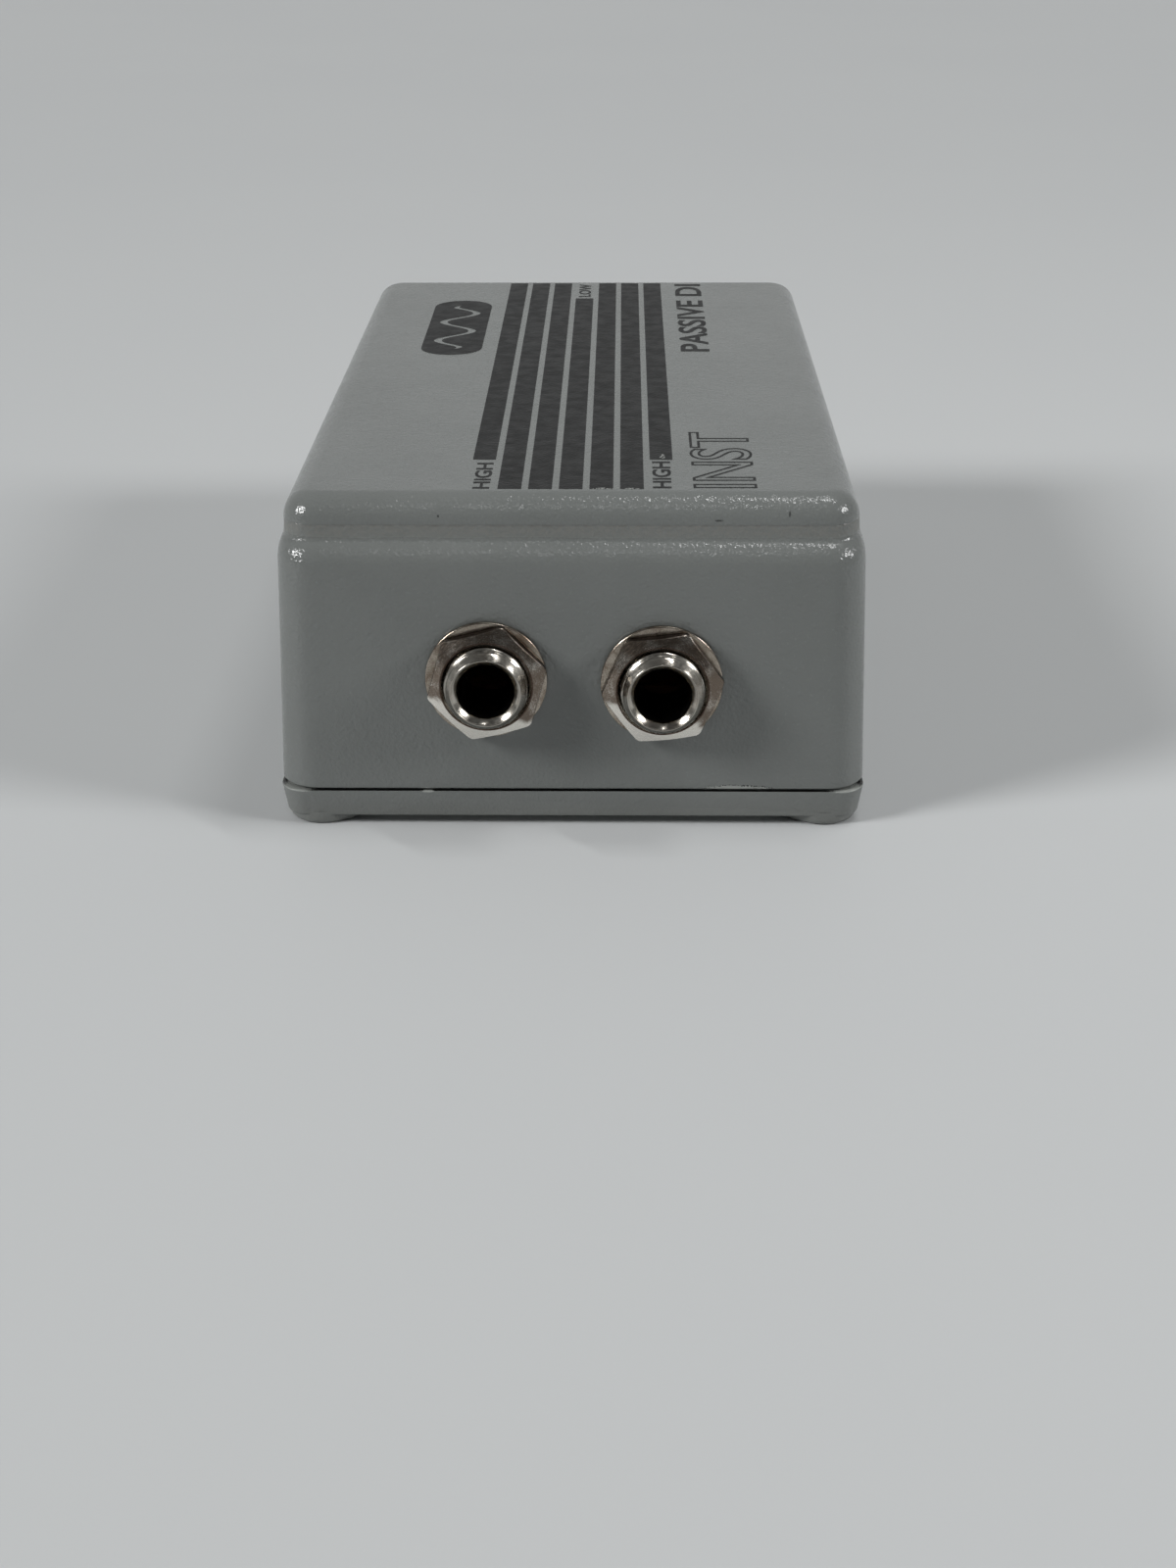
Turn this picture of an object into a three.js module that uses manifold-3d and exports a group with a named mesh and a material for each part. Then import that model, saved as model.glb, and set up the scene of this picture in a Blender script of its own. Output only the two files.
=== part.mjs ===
// A passive direct injection box: a die-cast stage box with two quarter-inch jacks on its front end,
// a three-pin balanced output and a ground-lift slide switch on its rear end, and a small audio
// transformer inside. Millimetres, +Z up, -Y is the jack end.
// The origin is on the standing surface, under the middle of the whole object's bounding box.

import * as THREE from 'three';
import { mergeVertices } from 'three/addons/utils/BufferGeometryUtils.js';
import Module from 'manifold-3d';

const wasm = await Module();
wasm.setup();

// ---------------------------------------------------------------- driving dimensions

const GAP = 0.25;                  // free space between pieces that rest on each other

const BOX_WIDTH = 66.8;            // shell outline at its open bottom edge
const BOX_LENGTH = 120;
const BOX_HEIGHT = 38.45;          // standing surface to the flat top
const SHELL_BOTTOM = 4.7;          // height of the shell's open edge
const SIDE_DRAFT = 0.8;            // how far the long walls lean in, each side
const END_DRAFT = 0.2;             // how far the end walls lean in, each end
const CORNER_RADIUS = 4.5;         // upright corners at the open edge
const TIER_CORNER_RADIUS = 3.8;    // upright corners of the top tier
const TOP_ROUND = 3.0;             // edge round between the top tier and the flat top
const BAND_HEIGHT = 1.35;          // short upright wall under the edge round
const SHOULDER_HEIGHT = 2.9;       // rounded shoulder below that wall
const SIDE_LEDGE = 0.75;           // how far the shoulder stands out at the sides
const END_LEDGE = 2.0;             // and at the ends
const WALL = 2.3;
const CEILING = 2.4;

const PILLAR_X = 27.4;             // cover screws
const PILLAR_Y = 54.9;
const PILLAR_RADIUS = 4.2;
const PILLAR_TOP = 17;
const PILLAR_CAP = 1.2;            // solid above each blind screw hole

const COVER_UNDERSIDE = 1.4;
const COVER_TOP = SHELL_BOTTOM - GAP;
const COVER_CORNER_RADIUS = 3.1;   // tighter than the shell's, so the cover's corners stand proud of it
const COVER_TAPER = 0.5;           // how far its edge leans in towards the underside
const BOSS_RADIUS = 4.6;           // round screw bosses under the cover, which it stands on
const BOSS_FOOT_RADIUS = 4.0;
const SCREW_RADIUS = 1.7;
const SCREW_HEAD_RADIUS = 2.9;
const SCREW_LENGTH = 13;
const SCREW_SUNK = 0.25;           // screw head below the boss's foot
const SCREW_HEAD_EDGE = 0.35;      // upright edge of the countersunk head
const SCREW_HEAD_CONE = 1.4;       // height of its cone

const SOCKET_HEIGHT = 18;          // axis of jacks and output above the standing surface
const JACK_SPACING = 19.56;
const JACK_OFFSET = 0.3;           // the pair sits a little to the right
const JACK_REACH = 4.6;            // bushing end beyond the shell's front outline
const BUSHING_RADIUS = 4.7;
const JACK_BORE_RADIUS = 3.25;
const NUT_FLATS = 11.8;
const NUT_THICKNESS = 1.6;
const WASHER_RADIUS = 6.6;
const WASHER_THICKNESS = 0.6;
const NUT_TURNS = { left: 16.5, right: 7 };   // degrees, as the two nuts were left when tightened

const OUTPUT_FLANGE_WIDTH = 31;
const OUTPUT_FLANGE_HEIGHT = 26;
const OUTPUT_FLANGE_THICKNESS = 1.5;
const OUTPUT_BARREL_RADIUS = 10.8;
const OUTPUT_CUP_RADIUS = 9.5;
const OUTPUT_DEPTH = 19;
const OUTPUT_SCREW_X = 12;
const OUTPUT_SCREW_Z = 9.5;
const OUTPUT_SCREW_HOLE = 1.75;
const OUTPUT_PIN_RADIUS = 1.2;
const OUTPUT_PIN_CIRCLE = 3.95;
const PAN_HEAD_HEIGHT = 1.3;
const HEAD_SEAT = 0.02;            // under a screw head, so that it only just clears its flange
const REAR_REACH = OUTPUT_FLANGE_THICKNESS + HEAD_SEAT + PAN_HEAD_HEIGHT;

const SWITCH_X = 19.2;
const SWITCH_TRAVEL = 3;
const SWITCH_LEVER_LENGTH = 4.4;
const SWITCH_LEVER_WIDTH = 4;
const SWITCH_SCREW_Z = 9.5;
const SWITCH_SCREW_HOLE = 1.6;

const WIRE_RADIUS = 0.65;

const LEFT_X = JACK_OFFSET - JACK_SPACING / 2;
const RIGHT_X = JACK_OFFSET + JACK_SPACING / 2;
const JACKS = [['left', LEFT_X], ['right', RIGHT_X]];
const LOW_AND_HIGH = [['low', -1], ['high', 1]];         // the two screws of the output and of the switch

const FRONT_OUTSIDE = -BOX_LENGTH / 2 + END_DRAFT / 2;   // front wall's faces at socket height
const FRONT_INSIDE = -BOX_LENGTH / 2 + END_DRAFT + WALL;
const REAR_OUTSIDE = -FRONT_OUTSIDE;
const REAR_INSIDE = -FRONT_INSIDE;
const CENTRE_SHIFT = (JACK_REACH - REAR_REACH) / 2;      // puts the bounding box over the origin

// ---------------------------------------------------------------- finishes

function finish(color, roughness, metalness) {
  return new THREE.MeshStandardMaterial({ color, roughness, metalness });
}

const FINISHES = {
  enamel: finish(0x6f7678, 0.4, 0.2),
  nickel: finish(0xc9c3b8, 0.25, 1.0),
  zinc: finish(0xb4b4b0, 0.35, 1.0),
  steel: finish(0x8f9294, 0.4, 1.0),
  castNickel: finish(0xa9a9a7, 0.35, 1.0),
  silver: finish(0xd8d6cf, 0.25, 1.0),
  phenolic: finish(0x5a3620, 0.6, 0.0),
  blackPlastic: finish(0x17181a, 0.45, 0.0),
  springBronze: finish(0xb08a52, 0.3, 1.0),
  lamination: finish(0x4c4f52, 0.5, 0.8),
  bobbin: finish(0xe3dfd0, 0.5, 0.0),
  windingTape: finish(0xc9a13a, 0.45, 0.0),
  foam: finish(0x2b2b2b, 0.9, 0.0),
  resistor: finish(0xb9a27a, 0.5, 0.0),
  capacitor: finish(0xa8632c, 0.5, 0.0),
  redWire: finish(0x9c1f1c, 0.5, 0.0),
  blackWire: finish(0x1b1b1c, 0.5, 0.0),
  whiteWire: finish(0xd9d7d0, 0.5, 0.0),
  greenWire: finish(0x2d6b3c, 0.5, 0.0),
  yellowWire: finish(0xc9a92c, 0.5, 0.0),
};

// ---------------------------------------------------------------- solids

function toSolid(geometry) {
  const bare = geometry.clone();
  bare.deleteAttribute('normal');
  bare.deleteAttribute('uv');
  const merged = mergeVertices(bare, 1e-4);
  const vertProperties = new Float32Array(merged.attributes.position.array);
  const triVerts = new Uint32Array(merged.index.array);
  return new wasm.Manifold(new wasm.Mesh({ numProp: 3, vertProperties, triVerts }));
}

function toGeometry(solid) {
  const mesh = solid.getMesh();
  const geometry = new THREE.BufferGeometry();
  geometry.setAttribute('position', new THREE.BufferAttribute(mesh.vertProperties, 3));
  geometry.setIndex(new THREE.BufferAttribute(mesh.triVerts, 1));
  geometry.computeVertexNormals();
  return geometry;
}

function join(...solids) {
  return solids.reduce((sum, next) => sum.add(next));
}

function cut(body, ...tools) {
  return tools.reduce((rest, tool) => rest.subtract(tool), body);
}

// A block between two corners.
function block([x0, y0, z0], [x1, y1, z1]) {
  const geometry = new THREE.BoxGeometry(x1 - x0, y1 - y0, z1 - z0);
  geometry.translate((x0 + x1) / 2, (y0 + y1) / 2, (z0 + z1) / 2);
  return toSolid(geometry);
}

// Sides enough for a round face of that radius to look and measure round.
function sidesFor(radius) {
  if (radius > 5) return 32;
  return radius > 2 ? 24 : 16;
}

// A cone along Z, which is a round bar when the two radii are equal.
function cone(x, y, z0, z1, lowRadius, highRadius) {
  const sides = sidesFor(Math.max(lowRadius, highRadius));
  const geometry = new THREE.CylinderGeometry(highRadius, lowRadius, z1 - z0, sides);
  geometry.rotateX(Math.PI / 2);
  geometry.translate(x, y, (z0 + z1) / 2);
  return toSolid(geometry);
}

function roundBar(x, y, z0, z1, radius) {
  return cone(x, y, z0, z1, radius, radius);
}

// A round bar along Y.
function endBar(x, z, y0, y1, radius) {
  const geometry = new THREE.CylinderGeometry(radius, radius, y1 - y0, sidesFor(radius));
  geometry.translate(x, (y0 + y1) / 2, z);
  return toSolid(geometry);
}

// A closed profile of [radius, y] points, rising on its outer side, turned about an axis along Y.
function turned(profile, x, z, sides = 32) {
  const points = profile.map(([radius, y]) => new THREE.Vector2(radius, y));
  const geometry = new THREE.LatheGeometry([...points, points[0]], sides);
  geometry.translate(x, 0, z);
  return toSolid(geometry);
}

// A flat outline of [x, z] points given a thickness along Y.
function endPlate(outline, y0, y1) {
  const shape = new THREE.Shape(outline.map(([x, z]) => new THREE.Vector2(x, z)));
  const geometry = new THREE.ExtrudeGeometry(shape, { depth: y1 - y0, bevelEnabled: false });
  geometry.rotateX(Math.PI / 2);
  geometry.translate(0, y1, 0);
  return toSolid(geometry);
}

// The corners of a rounded rectangle, counter-clockwise, with the same point count for any size.
function roundedOutline(halfWidth, halfLength, radius, steps) {
  const corners = [[1, 1], [-1, 1], [-1, -1], [1, -1]];
  const outline = [];
  corners.forEach(([signX, signY], corner) => {
    const centreX = signX * (halfWidth - radius);
    const centreY = signY * (halfLength - radius);
    for (let step = 0; step <= steps; step += 1) {
      const angle = (corner + step / steps) * Math.PI / 2;
      outline.push([centreX + radius * Math.cos(angle), centreY + radius * Math.sin(angle)]);
    }
  });
  return outline;
}

// A solid through a stack of level outlines, closed by a flat lid at each end.
function stacked(levels, steps) {
  const rings = levels.map(({ x, y, radius }) => roundedOutline(x, y, radius, steps));
  const count = rings[0].length;
  const positions = [];
  const indices = [];
  rings.forEach((ring, level) => {
    ring.forEach(([x, y]) => positions.push(x, y, levels[level].z));
  });
  for (let level = 0; level < rings.length - 1; level += 1) {
    for (let point = 0; point < count; point += 1) {
      const a = level * count + point;
      const b = level * count + (point + 1) % count;
      indices.push(a, b, b + count, a, b + count, a + count);
    }
  }
  const topStart = (rings.length - 1) * count;
  for (let point = 1; point < count - 1; point += 1) {
    indices.push(0, point + 1, point);
    indices.push(topStart, topStart + point, topStart + point + 1);
  }
  const geometry = new THREE.BufferGeometry();
  geometry.setAttribute('position', new THREE.Float32BufferAttribute(positions, 3));
  geometry.setIndex(indices);
  return toSolid(geometry);
}

// A rounded rectangle standing upright, as a plate along Y.
function roundedEndPlate(x, z, halfWidth, halfHeight, radius, y0, y1) {
  const outline = roundedOutline(halfWidth, halfHeight, radius, 5);
  return endPlate(outline.map(([u, v]) => [x + u, z + v]), y0, y1);
}

function insulatedWire(points) {
  const route = new THREE.CatmullRomCurve3(points.map((point) => new THREE.Vector3(...point)));
  const section = new THREE.Shape();
  section.absarc(0, 0, WIRE_RADIUS, 0, 2 * Math.PI);
  const options = { steps: 18, curveSegments: 4, bevelEnabled: false, extrudePath: route };
  return toSolid(new THREE.ExtrudeGeometry(section, options));
}

const directBox = new THREE.Group();
directBox.position.y = CENTRE_SHIFT;

function place(name, solid, material) {
  const mesh = new THREE.Mesh(toGeometry(solid), material);
  mesh.name = name;
  directBox.add(mesh);
}

const CORNERS = [
  { name: 'front_left', x: -1, y: -1 },
  { name: 'front_right', x: 1, y: -1 },
  { name: 'rear_right', x: 1, y: 1 },
  { name: 'rear_left', x: -1, y: 1 },
];

// ---------------------------------------------------------------- housing

const SHOULDER_TOP = BOX_HEIGHT - TOP_ROUND - BAND_HEIGHT;

// One level of the outer skin: how far it is drawn in at the sides and at the ends.
function skinLevel(z, sideInset, endInset, radius) {
  return { z, x: BOX_WIDTH / 2 - sideInset, y: BOX_LENGTH / 2 - endInset, radius };
}

function outerSkin() {
  const steps = 5;
  const levels = [skinLevel(SHELL_BOTTOM, 0, 0, CORNER_RADIUS)];
  for (let step = 0; step <= steps; step += 1) {
    const angle = (1 - step / steps) * Math.PI / 2;
    const drawn = 1 - Math.sin(angle);
    const z = SHOULDER_TOP - SHOULDER_HEIGHT * (1 - Math.cos(angle));
    const radius = CORNER_RADIUS - (CORNER_RADIUS - TIER_CORNER_RADIUS) * drawn;
    levels.push(skinLevel(z, SIDE_DRAFT + SIDE_LEDGE * drawn, END_DRAFT + END_LEDGE * drawn, radius));
  }
  for (let step = 0; step <= steps; step += 1) {
    const angle = (1 - step / steps) * Math.PI / 2;
    const drawn = TOP_ROUND * (1 - Math.sin(angle));
    const z = BOX_HEIGHT - TOP_ROUND * (1 - Math.cos(angle));
    const radius = Math.max(0.8, TIER_CORNER_RADIUS - drawn * 0.9);
    levels.push(skinLevel(z, SIDE_DRAFT + SIDE_LEDGE + drawn, END_DRAFT + END_LEDGE + drawn, radius));
  }
  return stacked(levels, 5);
}

function cavity() {
  const radius = CORNER_RADIUS - WALL;
  const levels = [
    skinLevel(SHELL_BOTTOM - 1, WALL, WALL, radius),
    skinLevel(SHOULDER_TOP - 4, WALL + SIDE_DRAFT, WALL + END_DRAFT, radius),
    skinLevel(BOX_HEIGHT - CEILING - 1.5, WALL + 1.6, WALL + 2.2, radius - 0.4),
    skinLevel(BOX_HEIGHT - CEILING, WALL + 3.1, WALL + 3.7, radius - 0.8),
  ];
  const pillars = CORNERS.map(({ x, y }) => (
    roundBar(x * PILLAR_X, y * PILLAR_Y, 0, PILLAR_TOP, PILLAR_RADIUS)
  ));
  return cut(stacked(levels, 4), ...pillars);
}

function upperShell() {
  const screwHoles = CORNERS.map(({ x, y }) => (
    roundBar(x * PILLAR_X, y * PILLAR_Y, 0, PILLAR_TOP - PILLAR_CAP, SCREW_RADIUS + GAP)
  ));
  const jackHoles = JACKS.map(([, x]) => (
    endBar(x, SOCKET_HEIGHT, -BOX_LENGTH, FRONT_INSIDE + 2, BUSHING_RADIUS + GAP)
  ));
  const rearHole = (x, z, radius) => endBar(x, z, REAR_INSIDE - 2, BOX_LENGTH, radius);
  const outputHole = rearHole(0, SOCKET_HEIGHT, OUTPUT_BARREL_RADIUS + GAP);
  const outputScrewHoles = LOW_AND_HIGH.map(([, side]) => (
    rearHole(-side * OUTPUT_SCREW_X, SOCKET_HEIGHT + side * OUTPUT_SCREW_Z, OUTPUT_SCREW_HOLE)
  ));
  const slotHalf = (SWITCH_LEVER_LENGTH + SWITCH_TRAVEL) / 2 + 0.35;
  const slotHalfWidth = SWITCH_LEVER_WIDTH / 2 + 0.5;
  const switchSlot = block(
    [SWITCH_X - slotHalfWidth, REAR_INSIDE - 2, SOCKET_HEIGHT - slotHalf],
    [SWITCH_X + slotHalfWidth, BOX_LENGTH, SOCKET_HEIGHT + slotHalf],
  );
  const switchScrewHoles = LOW_AND_HIGH.map(([, side]) => (
    rearHole(SWITCH_X, SOCKET_HEIGHT + side * SWITCH_SCREW_Z, SWITCH_SCREW_HOLE)
  ));
  return cut(
    outerSkin(), cavity(), ...screwHoles, ...jackHoles,
    outputHole, ...outputScrewHoles, switchSlot, ...switchScrewHoles,
  );
}

// The locating rim on the cover: a low wall just inside the shell, open at the four pillars.
function coverRim() {
  const outside = WALL + 0.35;
  const inside = outside + 1.5;
  const top = COVER_TOP + 1.8;
  const tube = (z0, z1, inset, radius) => (
    stacked([skinLevel(z0, inset, inset, radius), skinLevel(z1, inset, inset, radius)], 3)
  );
  const reach = PILLAR_RADIUS + 0.4;
  const beyond = 20;
  const pillarNotches = CORNERS.map(({ x, y }) => block(
    [x * PILLAR_X - (x > 0 ? reach : beyond), y * PILLAR_Y - (y > 0 ? reach : beyond), COVER_TOP],
    [x * PILLAR_X + (x > 0 ? beyond : reach), y * PILLAR_Y + (y > 0 ? beyond : reach), top + 2],
  ));
  // Leaves room for the output's lower nut and for the switch.
  const rearNotch = block([8, BOX_LENGTH / 2 - 10, COVER_TOP], [PILLAR_X, BOX_LENGTH / 2, top + 2]);
  return cut(
    tube(COVER_TOP - 1, top, outside, 2), tube(COVER_TOP - 2, top + 1, inside, 1),
    ...pillarNotches, rearNotch,
  );
}

function bottomCover() {
  const edge = (z, inset) => skinLevel(z, inset, inset, COVER_CORNER_RADIUS);
  const plate = stacked([edge(COVER_UNDERSIDE, COVER_TAPER), edge(COVER_TOP, 0)], 5);
  const bosses = CORNERS.map(({ x, y }) => (
    cone(x * PILLAR_X, y * PILLAR_Y, 0, COVER_UNDERSIDE + 1, BOSS_FOOT_RADIUS, BOSS_RADIUS)
  ));
  const headRadius = SCREW_HEAD_RADIUS + GAP;
  const shankRadius = SCREW_RADIUS + GAP;
  const coneFoot = SCREW_SUNK + SCREW_HEAD_EDGE + 0.1;
  const screwHoles = CORNERS.flatMap(({ x, y }) => [
    roundBar(x * PILLAR_X, y * PILLAR_Y, -1, COVER_TOP + 1, shankRadius),
    roundBar(x * PILLAR_X, y * PILLAR_Y, -1, coneFoot, headRadius),
    cone(x * PILLAR_X, y * PILLAR_Y, coneFoot - 0.05, coneFoot + SCREW_HEAD_CONE, headRadius, shankRadius),
  ]);
  return cut(join(plate, coverRim(), ...bosses), ...screwHoles);
}

function coverScrew(x, y) {
  const coneFoot = SCREW_SUNK + SCREW_HEAD_EDGE;
  const coneTop = coneFoot + SCREW_HEAD_CONE;
  const body = join(
    roundBar(0, 0, SCREW_SUNK, coneFoot, SCREW_HEAD_RADIUS),
    cone(0, 0, coneFoot, coneTop, SCREW_HEAD_RADIUS, SCREW_RADIUS),
    roundBar(0, 0, coneTop - 0.05, SCREW_SUNK + SCREW_LENGTH, SCREW_RADIUS),
  );
  const arm = SCREW_RADIUS;
  const halfSlot = 0.3;
  const recessTop = SCREW_SUNK + 1.1;
  const recess = join(
    block([-arm, -halfSlot, -1], [arm, halfSlot, recessTop]),
    block([-halfSlot, -arm, -1], [halfSlot, arm, recessTop]),
  );
  return cut(body, recess).translate([x * PILLAR_X, y * PILLAR_Y, 0]);
}

place('upper_shell', upperShell(), FINISHES.enamel);
place('bottom_cover', bottomCover(), FINISHES.enamel);
CORNERS.forEach(({ name, x, y }) => place(`cover_screw_${name}`, coverScrew(x, y), FINISHES.zinc));

// ---------------------------------------------------------------- quarter-inch jacks

const BUSHING_END = -BOX_LENGTH / 2 - JACK_REACH;
const WASHER_REAR = FRONT_OUTSIDE - GAP;
const NUT_REAR = WASHER_REAR - WASHER_THICKNESS - GAP;
const LOCK_WASHER_RADIUS = 6.8;
const LOCK_WASHER_THICKNESS = 0.6;
const LOCK_WASHER_FRONT = FRONT_INSIDE + GAP;
const FRAME_FRONT = LOCK_WASHER_FRONT + LOCK_WASHER_THICKNESS + GAP;
const FRAME_THICKNESS = 1.1;
const LEG_TOP = SOCKET_HEIGHT - 7.4;      // top face of the frame's lower leg
const STACK_FRONT = FRAME_FRONT + 4.2;
const STACK_REAR = FRAME_FRONT + 13;
const SPRING_LEVEL = SOCKET_HEIGHT - 5.2; // middle of the spring leaf where the stack clamps it
const SPRING_THICKNESS = 0.4;
const EYE_RADIUS = 0.7;                   // solder eyes
const TIP_EYE = [-7.4, STACK_FRONT - 1.45, SPRING_LEVEL];   // from the jack's axis: x, then y and z
const SLEEVE_EYE = [0, STACK_REAR + 5, LEG_TOP];

function jackBushing(x) {
  return turned([
    [JACK_BORE_RADIUS + 0.25, BUSHING_END],
    [BUSHING_RADIUS - 0.6, BUSHING_END],
    [BUSHING_RADIUS, BUSHING_END + 0.6],
    [BUSHING_RADIUS, FRAME_FRONT + FRAME_THICKNESS],
    [JACK_BORE_RADIUS, FRAME_FRONT + FRAME_THICKNESS],
    [JACK_BORE_RADIUS, BUSHING_END + 0.25],
  ], x, SOCKET_HEIGHT);
}

function jackFrame(x) {
  const plate = cut(
    block([x - 7, FRAME_FRONT, LEG_TOP - 1], [x + 7, FRAME_FRONT + FRAME_THICKNESS, SOCKET_HEIGHT + 6.5]),
    endBar(x, SOCKET_HEIGHT, FRAME_FRONT - 5, FRAME_FRONT + 5, JACK_BORE_RADIUS + 0.2),
  );
  const leg = block([x - 4.2, FRAME_FRONT, LEG_TOP - 1], [x + 4.2, STACK_REAR + 1.5, LEG_TOP]);
  const sleeveLug = cut(
    block([x - 1.6, STACK_REAR + 1, LEG_TOP - 1], [x + 1.6, STACK_REAR + 7, LEG_TOP]),
    roundBar(x, STACK_REAR + 5, LEG_TOP - 2, LEG_TOP + 1, EYE_RADIUS),
  );
  return join(jackBushing(x), plate, leg, sleeveLug);
}

// A hexagon of [x, z] points: its size across the flats, and where its first corner points, in degrees.
function hexagon(x, z, flats, turn) {
  const reach = flats / 2 / Math.cos(Math.PI / 6);
  return [0, 1, 2, 3, 4, 5].map((corner) => {
    const angle = THREE.MathUtils.degToRad(turn + corner * 60);
    return [x + reach * Math.cos(angle), z + reach * Math.sin(angle)];
  });
}

function jackNut(x, turn) {
  const outline = hexagon(x, SOCKET_HEIGHT, NUT_FLATS, turn);
  const chamfer = turned([
    [0, NUT_REAR - NUT_THICKNESS],
    [NUT_FLATS / 2 - 0.1, NUT_REAR - NUT_THICKNESS],
    [NUT_FLATS / 2 + 1.2, NUT_REAR - NUT_THICKNESS + 0.55],
    [NUT_FLATS / 2 + 1.2, NUT_REAR + 0.1],
    [0, NUT_REAR + 0.1],
  ], x, SOCKET_HEIGHT, 36);
  const body = endPlate(outline, NUT_REAR - NUT_THICKNESS - 0.1, NUT_REAR).intersect(chamfer);
  return cut(body, endBar(x, SOCKET_HEIGHT, NUT_REAR - 5, NUT_REAR + 5, BUSHING_RADIUS + GAP));
}

// A flat washer on a jack's bushing.
function bushingWasher(x, radius, y0, y1) {
  const inside = BUSHING_RADIUS + GAP;
  return turned([[inside, y0], [radius, y0], [radius, y1], [inside, y1]], x, SOCKET_HEIGHT);
}

function insulatorStack(x) {
  const stack = block([x - 4, STACK_FRONT, LEG_TOP + GAP], [x + 4, STACK_REAR, SOCKET_HEIGHT - 3.7]);
  const leafSlot = block(
    [x - 2.9, STACK_FRONT - 1, SPRING_LEVEL - SPRING_THICKNESS / 2 - 0.2],
    [x + 2.9, STACK_REAR + 1, SPRING_LEVEL + SPRING_THICKNESS / 2 + 0.2],
  );
  return cut(stack, leafSlot);
}

// The clamped part of the tip contact, ending in a solder eye beside the stack's front end.
function tipLug(x) {
  const low = SPRING_LEVEL - SPRING_THICKNESS / 2;
  const high = SPRING_LEVEL + SPRING_THICKNESS / 2;
  const leaf = block([x - 2.6, STACK_FRONT - 2.6, low], [x + 2.6, STACK_REAR - 0.3, high]);
  const lug = block([x - 8.6, STACK_FRONT - 2.6, low], [x - 2, STACK_FRONT - 0.3, high]);
  const eye = roundBar(x + TIP_EYE[0], TIP_EYE[1], low - 1, high + 1, EYE_RADIUS);
  return cut(join(leaf, lug), eye);
}

// The free part of the tip contact: it runs back and rises to the nose that presses on the plug's tip.
function tipSpring(x) {
  const line = [[0.3, 0], [5.5, 0], [9, 2.9], [10, 2.9], [12.5, 0.8]];
  const half = SPRING_THICKNESS / 2;
  const upper = line.map(([y, z]) => [STACK_REAR + y, SPRING_LEVEL + z + half]);
  const lower = line.map(([y, z]) => [STACK_REAR + y, SPRING_LEVEL + z - half]).reverse();
  const shape = new THREE.Shape([...upper, ...lower].map(([y, z]) => new THREE.Vector2(y, z)));
  const geometry = new THREE.ExtrudeGeometry(shape, { depth: 4.4, bevelEnabled: false });
  geometry.rotateX(Math.PI / 2);
  geometry.rotateZ(Math.PI / 2);
  geometry.translate(x - 2.2, 0, 0);
  return toSolid(geometry);
}

JACKS.forEach(([side, x]) => {
  const washer = bushingWasher(x, WASHER_RADIUS, WASHER_REAR - WASHER_THICKNESS, WASHER_REAR);
  const lockWasher = bushingWasher(x, LOCK_WASHER_RADIUS, LOCK_WASHER_FRONT, FRAME_FRONT - GAP);
  place(`${side}_jack_frame`, jackFrame(x), FINISHES.nickel);
  place(`${side}_jack_washer`, washer, FINISHES.nickel);
  place(`${side}_jack_nut`, jackNut(x, NUT_TURNS[side]), FINISHES.nickel);
  place(`${side}_jack_lock_washer`, lockWasher, FINISHES.steel);
  place(`${side}_jack_insulator`, insulatorStack(x), FINISHES.phenolic);
  place(`${side}_jack_tip_lug`, tipLug(x), FINISHES.springBronze);
  place(`${side}_jack_tip_spring`, tipSpring(x), FINISHES.springBronze);
});

// ---------------------------------------------------------------- three-pin balanced output

const FLANGE_REAR = REAR_OUTSIDE + END_DRAFT / 2 + GAP;        // flange face that rests on the end wall
const FLANGE_FACE = BOX_LENGTH / 2 + OUTPUT_FLANGE_THICKNESS;  // flange face a plug meets
const OUTPUT_BACK = FLANGE_FACE - OUTPUT_DEPTH;
const INSERT_FRONT = FLANGE_FACE - 14.5;
const PIN_TIP = FLANGE_FACE - 4;
const PIN_TAIL = OUTPUT_BACK - 5.5;
const SOLDER_CUP_DEPTH = 2.5;

function outputShell() {
  const flange = roundedEndPlate(
    0, SOCKET_HEIGHT, OUTPUT_FLANGE_WIDTH / 2, OUTPUT_FLANGE_HEIGHT / 2, 3, FLANGE_REAR, FLANGE_FACE,
  );
  const barrel = endBar(0, SOCKET_HEIGHT, OUTPUT_BACK, FLANGE_FACE, OUTPUT_BARREL_RADIUS);
  const cup = endBar(0, SOCKET_HEIGHT, OUTPUT_BACK - 1, FLANGE_FACE + 1, OUTPUT_CUP_RADIUS);
  const keyway = block(
    [-1.6, INSERT_FRONT + 2, SOCKET_HEIGHT + OUTPUT_CUP_RADIUS - 1],
    [1.6, FLANGE_FACE + 1, SOCKET_HEIGHT + OUTPUT_CUP_RADIUS + 0.6],
  );
  const screwHoles = LOW_AND_HIGH.map(([, side]) => endBar(
    -side * OUTPUT_SCREW_X, SOCKET_HEIGHT + side * OUTPUT_SCREW_Z,
    FLANGE_REAR - 1, FLANGE_FACE + 1, OUTPUT_SCREW_HOLE,
  ));
  return cut(join(flange, barrel), cup, keyway, ...screwHoles);
}

const PIN_PLACES = [-1, 0, 1].map((slot) => {
  const angle = THREE.MathUtils.degToRad(270 + slot * 90);
  return [OUTPUT_PIN_CIRCLE * Math.cos(angle), SOCKET_HEIGHT + OUTPUT_PIN_CIRCLE * Math.sin(angle)];
});

function outputInsert() {
  const disc = endBar(0, SOCKET_HEIGHT, OUTPUT_BACK + 0.2, INSERT_FRONT, OUTPUT_CUP_RADIUS - GAP);
  const holes = PIN_PLACES.map(([x, z]) => (
    endBar(x, z, OUTPUT_BACK - 1, INSERT_FRONT + 1, OUTPUT_PIN_RADIUS + 0.2)
  ));
  return cut(disc, ...holes);
}

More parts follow.
